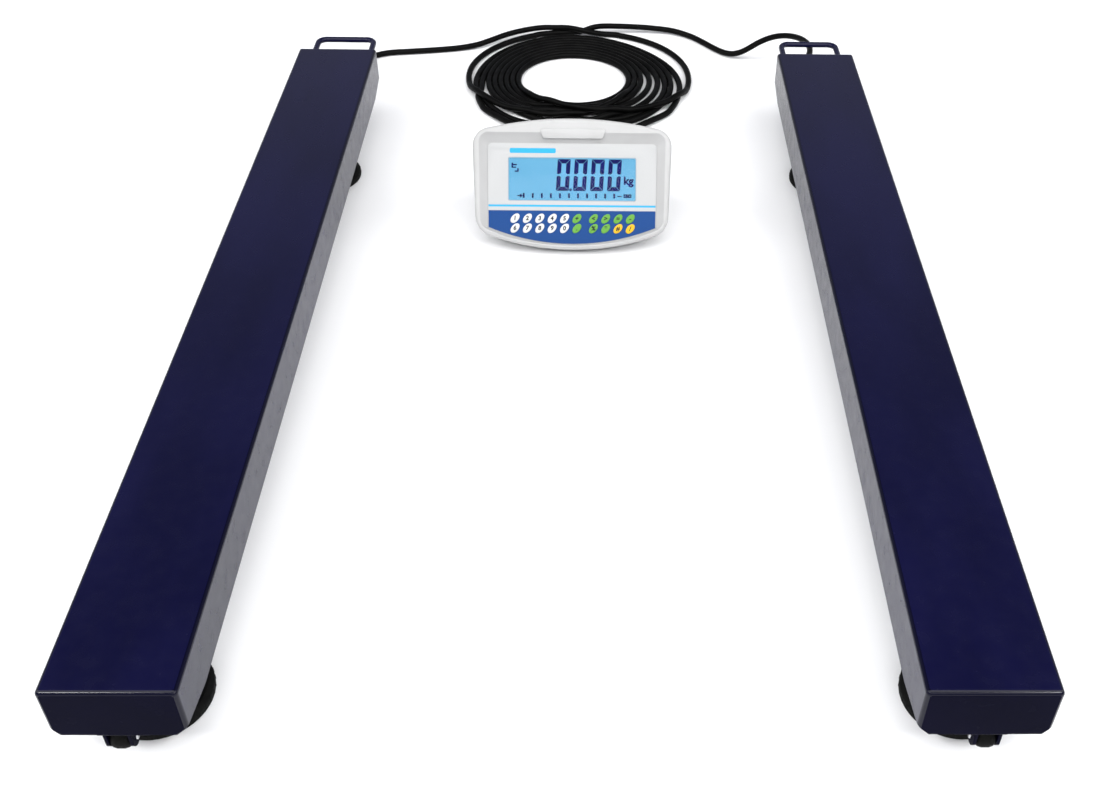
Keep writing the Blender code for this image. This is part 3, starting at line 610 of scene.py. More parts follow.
def cables():
    """Each beam's cable: out of its gland, over the floor, round the coil and on to the indicator."""
    plans = {
        "left": (LEFT_ROUTE, LEFT_TURNS, RIGHT_LEAD, -1, 0.012, 0.007),
        "right": (RIGHT_ROUTE, RIGHT_TURNS, LEFT_LEAD, 1, 0.004, 0.009),
    }
    cords, free = [], []
    for route, turns, lead, spin, lift, wobble in plans.values():
        coil = coil_turns(turns, route[-1], lead[0], spin, lift, wobble)
        line = even_route([*route, *coil, *lead], STEP)
        lead_in = len(even_route(route[:-3], STEP))
        lead_out = len(even_route(lead[2:], STEP))
        held = np.ones(len(line))
        held[:lead_in] = 0
        held[-lead_out:] = 0
        ease = 20
        held[lead_in:lead_in + ease] = np.linspace(0, 1, ease)
        held[-lead_out - ease:-lead_out] = np.linspace(1, 0, ease)
        cords.append(line)
        free.append(held)
    settled = settle(cords, free, 420)
    for side, line in zip(plans, settled):
        bm = bmesh.new()
        sweep(bm, line, CABLE_RADIUS, 14)
        plug_side = "right" if side == "left" else "left"
        nodes = [side + "_cable", plug_side + "_lead"] + (["cable_coil"] if side == "left" else [])
        obj = piece("cord_" + side, bm, SHEATH, None, nodes)
        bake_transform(obj)


def cable_plug(side, x):
    """A moulded plug with a ribbed locking ring and a tapered, ribbed strain relief."""
    place = along_y(x, FACE_ORIGIN[1] + REAR_WALL + 0.0003, PLUG_Z)
    bm = bmesh.new()
    corners = [(0, 0.0005, 0), (0.0086, 0.0005, 0.0004), (0.0086, 0.0035, 0), (0.0102, 0.0035, 0.0008),
               (0.0102, 0.0195, 0.001), (0.0088, 0.02, 0.0006), (0.008, 0.0235, 0.001)]
    profile = rounded_profile([*corners, (0.0076, 0.0245, 0)], 3)
    for i in range(5):
        z = 0.0255 + i * 0.0032
        r = 0.0076 - i * 0.00032
        profile += [(r, z), (r, z + 0.0018), (r - 0.0009, z + 0.002), (r - 0.0009, z + 0.003)]
    profile += [(0.0056, 0.042), (CABLE_RADIUS + 0.0002, 0.0424), (0, 0.0424)]
    lathe(bm, profile, 48, place)
    ribs(bm, 24, place, (0.0098, -0.0005, 0.006), (0.0106, 0.0005, 0.017), 0.0002)
    piece(side + "_cable_plug", bm, NYLON, "indicator", [side + "_plug"])


# ---------------------------------------------------------------- weigh beams
def deck(side):
    """The folded channel with its welded end plates, cut at its lower corners, and open below."""
    low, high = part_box(side + "_deck")
    sign = SIDES[side]
    bm = bmesh.new()
    box(bm, low, high)
    middle = (low.x + high.x) / 2
    for sx in (-1, 1):
        across = OUTER_CUT if sx == sign else INNER_CUT
        edge_x = middle + sx * (high.x - low.x) / 2
        for end, sy in ((low.y, -1), (high.y, 1)):
            on_side = Vector((edge_x, end - sy * CUT_ALONG, low.z))
            on_edge = Vector((edge_x, end, low.z + CUT_UP))
            on_end = Vector((edge_x - sx * across, end, low.z))
            normal = (on_edge - on_side).cross(on_end - on_side).normalized()
            if normal.z > 0:
                normal.negate()
            every = bm.verts[:] + bm.edges[:] + bm.faces[:]
            bmesh.ops.bisect_plane(bm, geom=every, plane_co=on_side, plane_no=normal, clear_outer=True)
    bottom = [f for f in bm.faces if all(v.co.z < low.z + SAME for v in f.verts)]
    bmesh.ops.delete(bm, geom=bottom, context="FACES")
    folds = []
    for edge in bm.edges:
        a, b = [v.co for v in edge.verts]
        upright = abs(a.x - b.x) < SAME and abs(a.y - b.y) < SAME
        if upright or min(a.z, b.z) > high.z - SAME:
            folds.append(edge)
    soften(bm, folds, FOLD_RADIUS, 6)
    bmesh.ops.recalc_face_normals(bm, faces=bm.faces)
    if sum(f.calc_area() * f.normal.z for f in bm.faces) < 0:
        bmesh.ops.reverse_faces(bm, faces=bm.faces)
    # Tops and side walls take the navy paint. End plates and folds take its darker copies, which are painted
    # shade.
    for face in bm.faces:
        n = face.normal
        face.material_index = 0 if n.z > 0.99 or abs(n.x) > 0.99 else (1 if abs(n.y) > 0.99 else 2)
    obj = piece(side + "_deck_shell", bm, [PAINT, SHADED_END_PAINT, SHADED_FOLD_PAINT], side + "_beam",
                [side + "_deck"], normals=False)
    modify(obj, "SOLIDIFY", thickness=WALL, offset=-1, use_even_offset=True)
    modify(obj, "BEVEL", width=0.0005, segments=2, limit_method="ANGLE", angle_limit=math.radians(50))
    modify(obj, "WEIGHTED_NORMAL", keep_sharp=True)


def modify(obj, kind, **values):
    modifier = obj.modifiers.new(kind.lower(), kind)
    for key, value in values.items():
        setattr(modifier, key, value)


def weld_bead(bm, start, end, radius):
    """A fillet weld: a low bead with the ripples of its passes."""
    start, end = Vector(start), Vector(end)
    count = max(8, round((end - start).length / 0.0024))
    points, radii = [], []
    for i in range(count + 1):
        t = i / count
        points.append(start.lerp(end, t))
        taper = min(1.0, 6 * t + 0.35, 6 * (1 - t) + 0.35)
        radii.append(radius * taper * (1 + 0.12 * math.sin(i * 2.3) + 0.05 * math.sin(i * 5.1 + 1)))
    sweep(bm, points, radii, 8)


def underside(side):
    """The stiffener with its two ribs, its stitch welds and the deck's corner welds."""
    body = side + "_beam"
    low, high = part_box(side + "_deck")
    plate_low, plate_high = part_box(side + "_stiffener")
    middle = (low.x + high.x) / 2
    bm = bmesh.new()
    top, bottom = plate_high.z, plate_high.z - 0.006
    box(bm, (plate_low.x, plate_low.y, bottom), (plate_high.x, plate_high.y, top), 0.0008)
    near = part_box(side + "_load_cell_near")[1].y + 0.012
    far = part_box(side + "_load_cell_far")[0].y - 0.012
    for sx in (-1, 1):
        x = middle + sx * 0.032
        rib = bmesh.new()
        outline = [(near, bottom), (near + 0.02, plate_low.z), (far - 0.02, plate_low.z), (far, bottom)]
        loft(rib, [[(x + dx, y, z) for y, z in outline] for dx in (-0.002, 0.002)])
        soften(rib, rib.edges[:], 0.0005)
        merge(bm, rib)
    piece(side + "_stiffener_plate", bm, PAINT, body, [side + "_stiffener"])
    bm = bmesh.new()
    stitch, pitch = 0.035, 0.11
    count = int((far - near) / pitch)
    for sx in (-1, 1):
        for i in range(count):
            y = near + 0.04 + i * pitch
            for x, z in ((middle + sx * 0.0345, bottom - 0.0006), (middle + sx * 0.0428, top - 0.0008)):
                weld_bead(bm, (x, y, z), (x, y + stitch, z), 0.0022)
        for end, sy in ((low.y, 1), (high.y, -1)):
            x = middle + sx * ((high.x - low.x) / 2 - WALL - 0.0008)
            y = end + sy * (WALL + 0.0008)
            weld_bead(bm, (x, y, low.z + 0.014), (x, y, high.z - 0.008), 0.0024)
    piece(side + "_deck_welds", bm, PAINT, body)


def load_cell(side, end):
    """A machined shear beam with a potted gauge pocket and two socket-head bolts."""
    node = f"{side}_load_cell_{end}"
    low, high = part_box(node)
    inward = 1 if end == "near" else -1
    middle = (low.x + high.x) / 2
    foot_y = sum(v.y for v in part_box(f"{side}_foot_{end}")) / 2
    top = low.z + 0.034
    bm = bmesh.new()
    box(bm, low, (high.x, high.y, top), 0.001)
    seat = sorted((foot_y + inward * 0.065, foot_y + inward * 0.108))
    box(bm, (low.x + 0.002, seat[0], top - 0.001), (high.x - 0.002, seat[1], high.z), 0.0006)
    piece(node + "_block", bm, ALLOY, side + "_beam", [node])
    bm = bmesh.new()
    head = [(0, -0.002, 0), (0.0082, -0.002, 0), (0.0082, 0.0062, 0.0008), (0.0046, 0.0066, 0.0002),
            (0.0042, 0.003, 0), (0, 0.0028, 0)]
    washer = [(0.004, 0.0002, 0), (0.0115, 0.0002, 0.0003), (0.0115, 0.0016, 0.0005), (0.004, 0.0016, 0)]
    upside_down = Matrix.Rotation(math.pi, 4, "X")
    for along in (0.076, 0.097):
        place = Matrix.Translation((middle, foot_y + inward * along, low.z)) @ upside_down
        lathe(bm, rounded_profile(head, 3), 32, place)
        lathe(bm, rounded_profile(washer, 2), 40, place)
    piece(node + "_bolts", bm, ZINC, side + "_beam")
    bm = bmesh.new()
    pocket = sorted((foot_y + inward * 0.03, foot_y + inward * 0.056))
    for sx in (-1, 1):
        x = sorted((middle + sx * 0.0165, middle + sx * 0.0176))
        box(bm, (x[0], pocket[0], low.z + 0.007), (x[1], pocket[1], top - 0.007), 0.0004)
    piece(node + "_potting", bm, NYLON, side + "_beam")


def foot(side, end):
    """A levelling load foot: ribbed rubber pad, swivel cup, threaded stud and lock nut."""
    node = f"{side}_foot_{end}"
    low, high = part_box(node)
    place = Matrix.Translation(((low.x + high.x) / 2, (low.y + high.y) / 2, 0))
    r = PAD_RADIUS
    bm = bmesh.new()
    pad = [(0, 0.0002, 0), (r - 0.003, 0.0002, 0.001), (r, 0.0026, 0.0012), (r, 0.0098, 0.0022),
           (r - 0.0055, 0.0125, 0.0016), (0.0235, 0.0142, 0.002), (0.02, 0.017, 0.0015),
           (0.017, 0.0215, 0.0015), (0.0085, 0.0225, 0)]
    lathe(bm, [*rounded_profile(pad, 5), (0, 0.0225)], 96, place)
    ribs(bm, 36, place, (r - 0.0004, -0.0011, 0.0034), (r + 0.0004, 0.0011, 0.0088), 0.0003)
    piece(node + "_pad", bm, RUBBER, node, [node])
    bm = bmesh.new()
    pitch, turns, stud_top = 0.0015, 52, 0.101
    thread = [(0, 0.022)]
    for i in range(turns):
        z = 0.0225 + i * pitch
        thread += [(STUD_RADIUS - 0.0007, z), (STUD_RADIUS, z + pitch / 2)]
    thread += [(STUD_RADIUS - 0.0012, stud_top), (0, stud_top)]
    lathe(bm, thread, 32, place)
    for across, bottom, top in ((0.0235, 0.0562, 0.0638), (0.019, 0.0226, 0.027)):
        hexagon(bm, across, bottom, top, place)
    piece(node + "_stud", bm, ZINC, node)


def handle(side):
    """The bent-rod pull handle, welded to the far end plate."""
    low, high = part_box(side + "_handle")
    middle, z = (low.x + high.x) / 2, (low.z + high.z) / 2
    half = (high.x - low.x) / 2 - ROD_RADIUS
    start, bend = low.y, 0.013
    corner = high.y - ROD_RADIUS - bend
    legs, steps = 14, 12
    bm = bmesh.new()
    points = [(middle - half, start + (corner - start) * i / legs, z) for i in range(legs)]
    for sx, first, last in ((-1, 180, 90), (1, 90, 0)):
        for i in range(steps + 1):
            a = math.radians(first + (last - first) * i / steps)
            points.append((middle + sx * (half - bend) + bend * math.cos(a), corner + bend * math.sin(a), z))
    points += [(2 * middle - x, y, z) for x, y, z in reversed(points[:legs])]
    sweep(bm, points, ROD_RADIUS, 20)
    turns, weld = 28, ROD_RADIUS + 0.0004
    for sx in (-1, 1):
        ring, radii = [], []
        for i in range(turns + 1):
            a = 2 * math.pi * i / turns
            ring.append((middle + sx * half + weld * math.cos(a), start + 0.001, z + weld * math.sin(a)))
            radii.append(0.002 + 0.00035 * math.sin(i * 2.7 + sx))
        sweep(bm, ring, radii, 10)
    piece(side + "_pull_handle", bm, PAINT, side + "_beam", [side + "_handle"])


def roller_set(side):
    """The transport roller in its welded fork, on an axle with riveted heads."""
    beam, body = side + "_beam", side + "_roller"
    low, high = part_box(side + "_roller")
    x, y, z = [(a + b) / 2 for a, b in zip(low, high)]
    half, r = (high.x - low.x) / 2, (high.z - low.z) / 2
    bm = bmesh.new()
    corners = [(0.0029, half, 0), (0.0058, half, 0.0004), (0.0062, half - 0.0007, 0.0003),
               (r - 0.0038, half - 0.0004, 0.0006), (r - 0.0012, half - 0.002, 0.0016),
               (r, half - 0.0058, 0.002)]
    profile = corners + [(c[0], -c[1], c[2]) for c in reversed(corners)]
    lathe(bm, rounded_profile(profile, 5) + [(0.0029, half)], 72, along_x(x, y, z))
    piece(side + "_roller_tyre", bm, RUBBER, body, [side + "_roller"])
    bm = bmesh.new()
    low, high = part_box(side + "_roller_axle")
    reach = (high.x - low.x) / 2
    head = [(0, reach, 0), (0.0022, reach, 0.0006), (0.0036, reach - 0.0007, 0.0006),
            (0.0037, reach - 0.0018, 0.0002), (0.0025, reach - 0.0018, 0)]
    profile = rounded_profile(head, 4)
    lathe(bm, profile + [(c, -h) for c, h in reversed(profile)], 32, along_x(x, y, z))
    piece(side + "_axle", bm, ZINC, beam, [side + "_roller_axle"])
    bm = bmesh.new()
    low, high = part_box(side + "_roller_fork")
    cheek_r, thick = 0.0095, 0.003
    box(bm, (low.x, y - cheek_r, high.z - thick), (high.x, y + cheek_r, high.z), 0.0006)
    flange_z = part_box(side + "_deck")[0].z - 0.006
    box(bm, (low.x, low.y, flange_z), (high.x, high.y, flange_z + thick), 0.0008)
    outline = [(y - cheek_r, high.z - 0.001), (y + cheek_r, high.z - 0.001)]
    for i in range(21):
        a = -math.pi * i / 20
        outline.append((y + cheek_r * math.cos(a), z + cheek_r * math.sin(a)))
    weld_z = flange_z - 0.0002
    for sx in (-1, 1):
        inside, outside = x + sx * (half + 0.0003), x + sx * (half + 0.0033)
        cheek = bmesh.new()
        loft(cheek, [[(at, py, pz) for py, pz in outline] for at in (inside, outside)])
        rims = [e for e in cheek.edges if abs(e.verts[0].co.x - e.verts[1].co.x) < SAME]
        soften(cheek, rims, 0.0004)
        merge(bm, cheek)
        for wy in (y - cheek_r, y + cheek_r):
            weld_bead(bm, (outside, wy, weld_z), (inside, wy, weld_z), 0.0011)
        weld_bead(bm, (outside, y - cheek_r, weld_z), (outside, y + cheek_r, weld_z), 0.0013)
    # The fork wears the darker end-plate copy of the navy paint: painted shade.
    piece(side + "_fork", bm, SHADED_END_PAINT, beam, [side + "_roller_fork"])


def gland(side):
    """The cable gland: hexagon body, sealing cap with grip ribs and a tapered sleeve."""
    low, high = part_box(side + "_gland")
    deck_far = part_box(side + "_deck")[1].y
    inner, outer = low.y - deck_far, high.y - deck_far
    place = along_y((low.x + high.x) / 2, deck_far, GLAND_Z)
    bm = bmesh.new()
    hexagon(bm, 0.0205, 0.0003, 0.0085, place)
    cap = [(0, 0.0085, 0), (0.0092, 0.0085, 0.0003), (0.0092, 0.015, 0.0006), (0.0088, 0.0195, 0.002),
           (0.007, 0.024, 0.002), (CABLE_RADIUS + 0.0012, outer - 0.0008, 0.0005),
           (CABLE_RADIUS + 0.0001, outer, 0)]
    lathe(bm, [*rounded_profile(cap, 4), (0, outer)], 48, place)
    ribs(bm, 14, place, (0.0089, -0.0007, 0.0092), (0.0099, 0.0007, 0.0172), 0.0003)
    lathe(bm, [(0, inner), (0.0058, inner), (0.0058, 0.001), (0, 0.001)], 32, place)
    hexagon(bm, 0.019, inner + 0.0002, -WALL - 0.0003, place)
    piece(side + "_cable_gland", bm, NYLON, side + "_beam", [side + "_gland"])


# ---------------------------------------------------------------- indicator outlines
def rounded(corners):
    """An outline from (x, y, radius, steps) corners, each with a fillet where its radius isn't 0."""
    points, count = [], len(corners)
    for i, (x, y, radius, steps) in enumerate(corners):
        here = Vector((x, y))
        if radius == 0:
            points.append((x, y))
            continue
        before = (Vector(corners[i - 1][:2]) - here).normalized()
        after = (Vector(corners[(i + 1) % count][:2]) - here).normalized()
        half = before.angle(after) / 2
        centre = here + (before + after).normalized() * (radius / math.sin(half))
        start = here + before * (radius / math.tan(half)) - centre
        end = here + after * (radius / math.tan(half)) - centre
        turn = start.angle_signed(end)
        for k in range(steps + 1):
            points.append(tuple(centre + Matrix.Rotation(-turn * k / steps, 2) @ start))
    return points


def arc_x(radius, base, half, count, up):
    """Corners along an arc that bulges away from the base height, up or down."""
    sign = 1 if up else -1
    xs = [half * (2 * i / (count - 1) - 1) for i in range(count)]
    return [(x, base + sign * (radius - math.sqrt(radius * radius - x * x)), 0, 0) for x in xs]


def face_outline(inset=0.0):
    """The case's outline: an arched top, nearly upright sides and a bottom like a smile."""
    bottom = arc_x(0.365, inset, 0.098 - inset, 33, True)
    top = arc_x(0.521, FACE_HEIGHT - inset, 0.1 - inset, 33, False)
    right = [(0.1333 - inset, 0.025 + inset, 0.0295 - inset, 14), (0.1378 - inset, 0.135, 0, 0),
             (0.1383 - inset, 0.164 - inset, 0.0256 - inset, 14)]
    left = [(-x, y, radius, steps) for x, y, radius, steps in reversed(right)]
    return rounded([*bottom, *right, *reversed(top), *left])


def panel_outline(side=0.0, top=0.0, bottom=0.0, radius=0.006):
    """The sunk face, grown by the given amounts."""
    smile = arc_x(0.308, 0.0074 - bottom, 0.1165 + side * 0.9, SMILE_POINTS, True)
    edge, high = 0.1175 + side, 0.147 + top
    return rounded([*smile, (edge, high, radius, 8), (-edge, high, radius, 8)])


def rectangle(low, high, radius, steps=6):
    corners = [(low[0], low[1]), (high[0], low[1]), (high[0], high[1]), (low[0], high[1])]
    return rounded([(x, y, radius, steps) for x, y in corners])


def at_height(outline, z):
    return [(x, y, z) for x, y in outline]


def slab(bm, outline, low, high):
    """A flat outline thickened from low to high."""
    loft(bm, [at_height(outline, low), at_height(outline, high)])


def on_face(name, bm, material, slot, *replaces, angle=35):
    """A piece of the indicator, made flat and set at the lean of its face."""
    piece(name, bm, material, "indicator", replaces, angle, FACE)


# ---------------------------------------------------------------- indicator
def front_shell():
    """The front of the case: a rounded rim, and slanted walls down to the sunk face."""
    bm = bmesh.new()
    rim, steps = 0.0055, 8
    back_z = -FLOOR_DEPTH - 0.003
    rings = [at_height(face_outline(0.0004), -RIM_DEPTH), at_height(face_outline(), -RIM_DEPTH + 0.0006)]
    for i in range(steps + 1):
        a = math.pi / 2 * i / steps
        rings.append(at_height(face_outline(rim * (1 - math.cos(a))), -rim * (1 - math.sin(a)) * 0.75))
    outer = loft(bm, rings, False)
    # How far each ring of the slanted walls is outside the sunk face, and its depth.
    walls = [(0.012, 0.0145, 0.0042, 0.0), (0.0113, 0.0138, 0.0036, -0.0003),
             (0.0106, 0.013, 0.003, -0.0009), (0.0016, 0.0022, 0.001, -0.0054),
             (0.0008, 0.001, 0.0006, -0.0059), (-0.004, -0.004, -0.004, -0.006),
             (-0.004, -0.004, -0.004, back_z)]
    sunk = [at_height(panel_outline(s, t, b, 0.0125 if z > -0.005 else 0.0065), z) for s, t, b, z in walls]
    # The slanted walls take the darker plastic copy, which is painted shade.
    inner = loft(bm, sunk, False, 1)
    fill_between(bm, outer[-1], inner[0])
    back = loft(bm, [at_height(face_outline(0.003), z) for z in (back_z, -RIM_DEPTH)], False)
    fill_between(bm, back[0], inner[-1])
    bridge(bm, back[1], outer[0])
    on_face("front_case", bm, [PLASTIC, SHADED_RECESS], "white_case", "front_shell", angle=28)
    bm = bmesh.new()
    corners = [(-0.04, 0.153), (0.042, 0.153), (0.0475, 0.1668), (-0.0455, 0.1668)]
    tab = []
    for inset, z in ((0.0, -0.003), (0.0, 0.0002), (0.0003, 0.0007), (0.001, 0.001)):
        shrunk = [(x * (1 - inset * 20), y + (inset if y < 0.16 else -inset), 0.003, 6) for x, y in corners]
        tab.append(at_height(rounded(shrunk), z))
    loft(bm, tab)
    on_face("top_tab", bm, PLASTIC, "white_case")


def rear_shell():
    """The deep back of the case on its flat base, with its socket plate and screws."""
    bm = bmesh.new()
    loft(bm, [at_height(face_outline(0.003), z) for z in (-0.3, -RIM_DEPTH - 0.0003)])
    bmesh.ops.recalc_face_normals(bm, faces=bm.faces)
    bmesh.ops.transform(bm, matrix=FACE, verts=bm.verts)
    centre, front = FACE_ORIGIN[:2]
    profile = [(0.0, 0.003), (REAR_WALL, 0.003), (REAR_WALL, 0.042), (0.149, 0.11), (0.133, 0.142),
               (0.06, 0.19)]
    for (ya, za), (yb, zb) in zip(profile, profile[1:]):
        normal = Vector((0, zb - za, -(yb - ya))).normalized()
        every = bm.verts[:] + bm.edges[:] + bm.faces[:]
        done = bmesh.ops.bisect_plane(bm, geom=every, plane_co=(centre, front + ya, za), plane_no=normal,
                                      clear_outer=True)
        rim = [e for e in done["geom_cut"] if isinstance(e, bmesh.types.BMEdge)]
        bmesh.ops.contextual_create(bm, geom=rim)
    bmesh.ops.recalc_face_normals(bm, faces=bm.faces)
    to_face = FACE.inverted()
    sharp = [e for e in bm.edges if e.is_manifold and e.calc_face_angle(0) > math.radians(28)
             and not all((to_face @ v.co).z > -RIM_DEPTH - 0.002 for v in e.verts)]
    soften(bm, sharp, 0.0045, 4, True)
    piece("rear_case", bm, PLASTIC, "indicator", ["rear_shell"], angle=30)
    bm = bmesh.new()
    wall = front + REAR_WALL
    box(bm, (centre - 0.058, wall - 0.001, 0.0072), (centre + 0.058, wall + 0.0012, 0.0335), 0.0009, 3)
    collar = [(0.009, 0.0, 0), (0.0122, 0.0, 0.0), (0.0122, 0.003, 0.0006), (0.0104, 0.0034, 0.0003)]
    for x in PLUG_X.values():
        lathe(bm, [*rounded_profile(collar, 3), (0.0104, 0.0)], 48, along_y(x, wall, PLUG_Z))
    piece("socket_plate", bm, NYLON, "indicator")
    bm = bmesh.new()
    screw = [(0, 0.0001, 0), (0.0034, 0.0001, 0.0002), (0.0034, 0.0014, 0.0009), (0, 0.002, 0)]
    for x in (-0.078, 0.074):
        for z in (0.018, 0.0365):
            place = along_y(x, wall, z)
            lathe(bm, rounded_profile(screw, 3), 32, place)
            for turn in (0, math.pi / 2):
                slot = bmesh.new()
                box(slot, (-0.0018, -0.0003, 0.00185), (0.0018, 0.0003, 0.0021))
                bmesh.ops.transform(slot, matrix=place @ Matrix.Rotation(turn, 4, "Z"), verts=slot.verts)
                merge(bm, slot, 1)
    piece("rear_screws", bm, [ZINC, NYLON], "indicator")


def overlay():
    """The printed film: white above, a cyan line, and the blue key field with its smile-shaped edge."""
    top, low = -FLOOR_DEPTH + 0.0011, -FLOOR_DEPTH + 0.0003
    ink_top = top + 0.00008
    gap, border = 0.0004, 0.0011
    (left, bottom), (right, high) = WINDOW
    edge = rectangle((left - gap, bottom - gap), (right + gap, high + gap), 0.002)
    bm = bmesh.new()
    skirt = [ring_verts(bm, at_height(panel_outline(-inset, -inset, -inset), z))
             for inset, z in ((0.0003, low), (0.0003, top - 0.0002), (0.0006, top))]
    hole = [ring_verts(bm, at_height(edge, z)) for z in (top, low)]
    for a, b in (*zip(skirt, skirt[1:]), hole):
        bridge(bm, a, b)
    fill_between(bm, skirt[-1], hole[0])
    on_face("overlay_film", bm, FILM_WHITE, "keypad_overlay", "keypad_overlay")

    outline = panel_outline(-0.0007, -0.0007, -0.0007)
    ends = {y: [(-side_at(outline, y), y), (side_at(outline, y), y)] for y in (0.0592, 0.0619, 0.054)}
    line = [*ends[0.0592], *reversed(ends[0.0619])]
    key_field = [*outline[:SMILE_POINTS], *reversed(ends[0.054])]
    mark = rectangle((-0.0868, 0.1332), (-0.023, 0.14), 0.002)
    prints = (("overlay_line", line, top + 0.00006, FILM_CYAN),
              ("overlay_key_field", key_field, ink_top, FILM_BLUE),
              ("overlay_mark", mark, ink_top, FILM_CYAN))
    for name, shape, height, material in prints:
        bm = bmesh.new()
        slab(bm, shape, top, height)
        on_face(name, bm, material, "keypad_overlay")
    bm = bmesh.new()
    reach = gap + border
    outside = rectangle((left - reach, bottom - reach), (right + reach, high + reach), 0.0026)
    rings = [ring_verts(bm, at_height(shape, z)) for shape, z in ((outside, top), (outside, ink_top),
                                                                  (edge, ink_top), (edge, top))]
    for a, b in zip(rings, rings[1:]):
        bridge(bm, a, b)
    on_face("overlay_window_border", bm, FILM_GREY, "keypad_overlay")


def side_at(outline, height):
    """Half the outline's width at a height."""
    best = 0.0
    for (xa, ya), (xb, yb) in zip(outline, outline[1:]):
        if (ya - height) * (yb - height) <= 0 and abs(ya - yb) > 1e-9:
            best = max(best, xa + (xb - xa) * (height - ya) / (yb - ya))
    return best


def digit_zero(bm, x, y, width, height, z, slant):
    """A slanted seven-segment nought: two bars and four posts, mitred at the corners."""
    thick, gap = width * 0.32, 0.0003
    half, inner = height / 2, height - thick
    bar = [(gap, height), (width - gap, height), (width - thick - gap, inner), (thick + gap, inner)]
    post = [(0, height - gap), (thick, inner - gap), (thick, half + thick / 2), (thick / 2, half + 0.001),
            (0, half + 0.0018)]
    for shape, sides in ((bar, (1,)), (post, (1, -1))):
        for side in sides:
            for end in (1, -1):
                turned = [(p if side > 0 else width - p, q if end > 0 else height - q) for p, q in shape]
                slab(bm, [(x + p + q * slant, y + q) for p, q in turned], z, z + 0.0001)


# Small plain marks on the display: left edge, width, lower edge, height.
SMALL_MARKS = (
    (-0.0765, 0.0075, 0.0738, 0.0016), (-0.0725, 0.0022, 0.0722, 0.0048), (0.063, 0.006, 0.0738, 0.0014),
    (0.0715, 0.011, 0.0726, 0.0014), (0.0715, 0.0016, 0.0726, 0.0046), (0.0809, 0.0016, 0.0726, 0.0046),
    (0.0715, 0.011, 0.076, 0.0014), (0.074, 0.006, 0.0741, 0.0018), (-0.0845, 0.0022, 0.113, 0.007),
    (-0.083, 0.006, 0.1165, 0.0018), (-0.083, 0.005, 0.113, 0.0016), (-0.08, 0.0055, 0.1075, 0.0018),
    (-0.0765, 0.002, 0.1075, 0.005),
)


def display():
    """The lit display behind its clear window: four noughts, a point, a unit and a bar of ticks."""
    surface_z = -0.0094
    bm = bmesh.new()
    slab(bm, rectangle((-0.09, 0.065), (0.09, 0.13), 0.0015), -0.0136, surface_z)
    on_face("lcd_panel", bm, BACKLIGHT, "display_cell", "display_cell")
    bm = bmesh.new()
    z = surface_z + 0.0006
    for x in (-0.0228, 0.001, 0.0247, 0.0484):
        digit_zero(bm, x, 0.0817, 0.018, 0.0437, z, 0.06)
    slab(bm, rectangle((-0.004, 0.0815), (-0.0006, 0.0849), 0.0012), z, z + 0.0001)
    for i in range(11):
        x = -0.0675 + i * 0.0126
        slab(bm, rectangle((x - 0.0013, 0.0716), (x + 0.0013, 0.0782), 0.0004, 2), z, z + 0.0001)
    for x, wide, y, tall in SMALL_MARKS:
        slab(bm, rectangle((x, y), (x + wide, y + tall), 0.0005, 2), z, z + 0.0001)
    write(bm, "kg", (0.0714, 0.0912), 0.015, z, bold=0.0006)
    on_face("lcd_figures", bm, LCD_INK, "display_cell")
    bm = bmesh.new()
    grow = 0.0005
    window = rectangle([v + grow for v in WINDOW[0]], [v - grow for v in WINDOW[1]], 0.0018)
    slab(bm, window, -0.0086, -0.0053)
    on_face("clear_window", bm, GLASS, "display_window", "display_window")


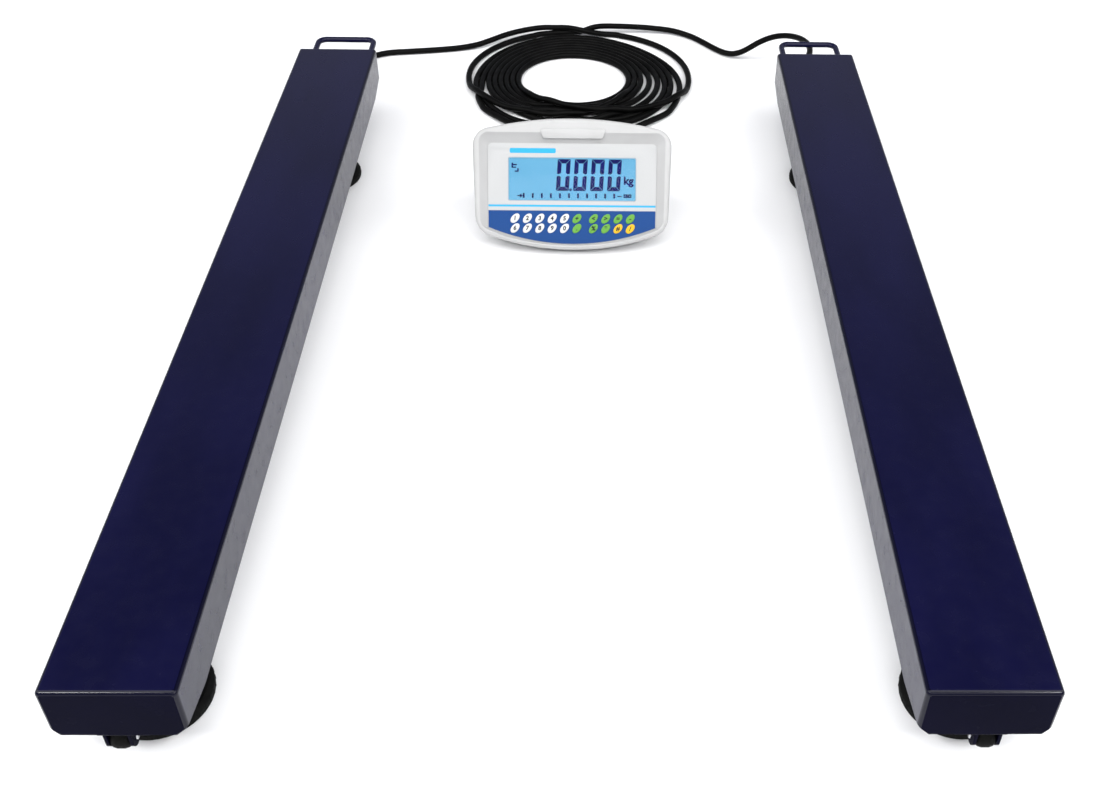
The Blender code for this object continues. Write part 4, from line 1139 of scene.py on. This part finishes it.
def write(bm, text, place, size, z, slant=0.0, centred=False, bold=0.0):
    """Generic figures as thin flat shapes."""
    curve = bpy.data.curves.new("figures", "FONT")
    curve.body = text
    curve.size = size
    curve.extrude = 0.00005
    curve.offset = bold
    curve.resolution_u = 3
    if centred:
        curve.align_x = "CENTER"
        curve.align_y = "CENTER"
    holder = in_scene("figures", curve)
    bpy.context.view_layer.update()
    mesh = bpy.data.meshes.new_from_object(holder.evaluated_get(bpy.context.evaluated_depsgraph_get()))
    bpy.data.objects.remove(holder)
    bpy.data.curves.remove(curve)
    for v in mesh.vertices:
        v.co = (v.co.x + slant * v.co.y + place[0], v.co.y + place[1], v.co.z + z)
    bm.from_mesh(mesh)
    bpy.data.meshes.remove(mesh)


FIGURES = {
    "upper": ["1", "2", "3", "4", "5", "+", "<", ">", "=", "-"],
    "lower": ["6", "7", "8", "9", "0", ".", "%", "*", "#", "/"],
}


def keys():
    """Twenty slanted keys with domed faces, numerals on the white ones and plain signs on the rest."""
    top = -FLOOR_DEPTH + 0.0024
    dome = ((0, -0.014), (0, top - 0.0007), (0.0002, top - 0.0003), (0.0007, top - 0.00005),
            (0.002, top), (0.0036, top + 0.00005))
    for row, y in KEY_ROWS.items():
        for i, x in enumerate(KEY_COLUMNS):
            node = f"key_{row}_{i + 1:02d}"
            slot = "key_white" if i < 5 else ("key_yellow" if row == "lower" and i > 7 else "key_green")
            bm = bmesh.new()
            loft(bm, [at_height(key_outline(x, y, inset), z) for inset, z in dome])
            figure = bmesh.new()
            write(figure, FIGURES[row][i], (x, y), 0.0082, top + 0.00012, 0.1, True, 0.00025)
            merge(bm, figure, 1)
            piece(node + "_cap", bm, [KEY_FILMS[slot], LEGEND], node, [node], matrix=FACE)


def key_outline(x, y, inset):
    points = []
    for a in around(40):
        p, q = (KEY_LONG - inset) * math.cos(a), (KEY_SHORT - inset) * math.sin(a)
        points.append((x + p * math.cos(KEY_SLANT) - q * math.sin(KEY_SLANT),
                       y + p * math.sin(KEY_SLANT) + q * math.cos(KEY_SLANT)))
    return points


def inside_and_strips():
    """New materials on the carried-over nodes."""
    for node, material in (("circuit_board", BOARD), ("battery", BATTERY), ("rubber_strip_front", RUBBER),
                           ("rubber_strip_rear", RUBBER)):
        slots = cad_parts[node].data.materials
        slots.clear()
        slots.append(material)


# ---------------------------------------------------------------- the whole scale
def build():
    camera()
    studio()
    for side, x in PLUG_X.items():
        cable_plug(side, x)
    cables()
    for side in SIDES:
        deck(side)
        underside(side)
        for end in ("near", "far"):
            load_cell(side, end)
            foot(side, end)
        handle(side)
        roller_set(side)
        gland(side)
    front_shell()
    rear_shell()
    overlay()
    display()
    keys()
    inside_and_strips()


build()
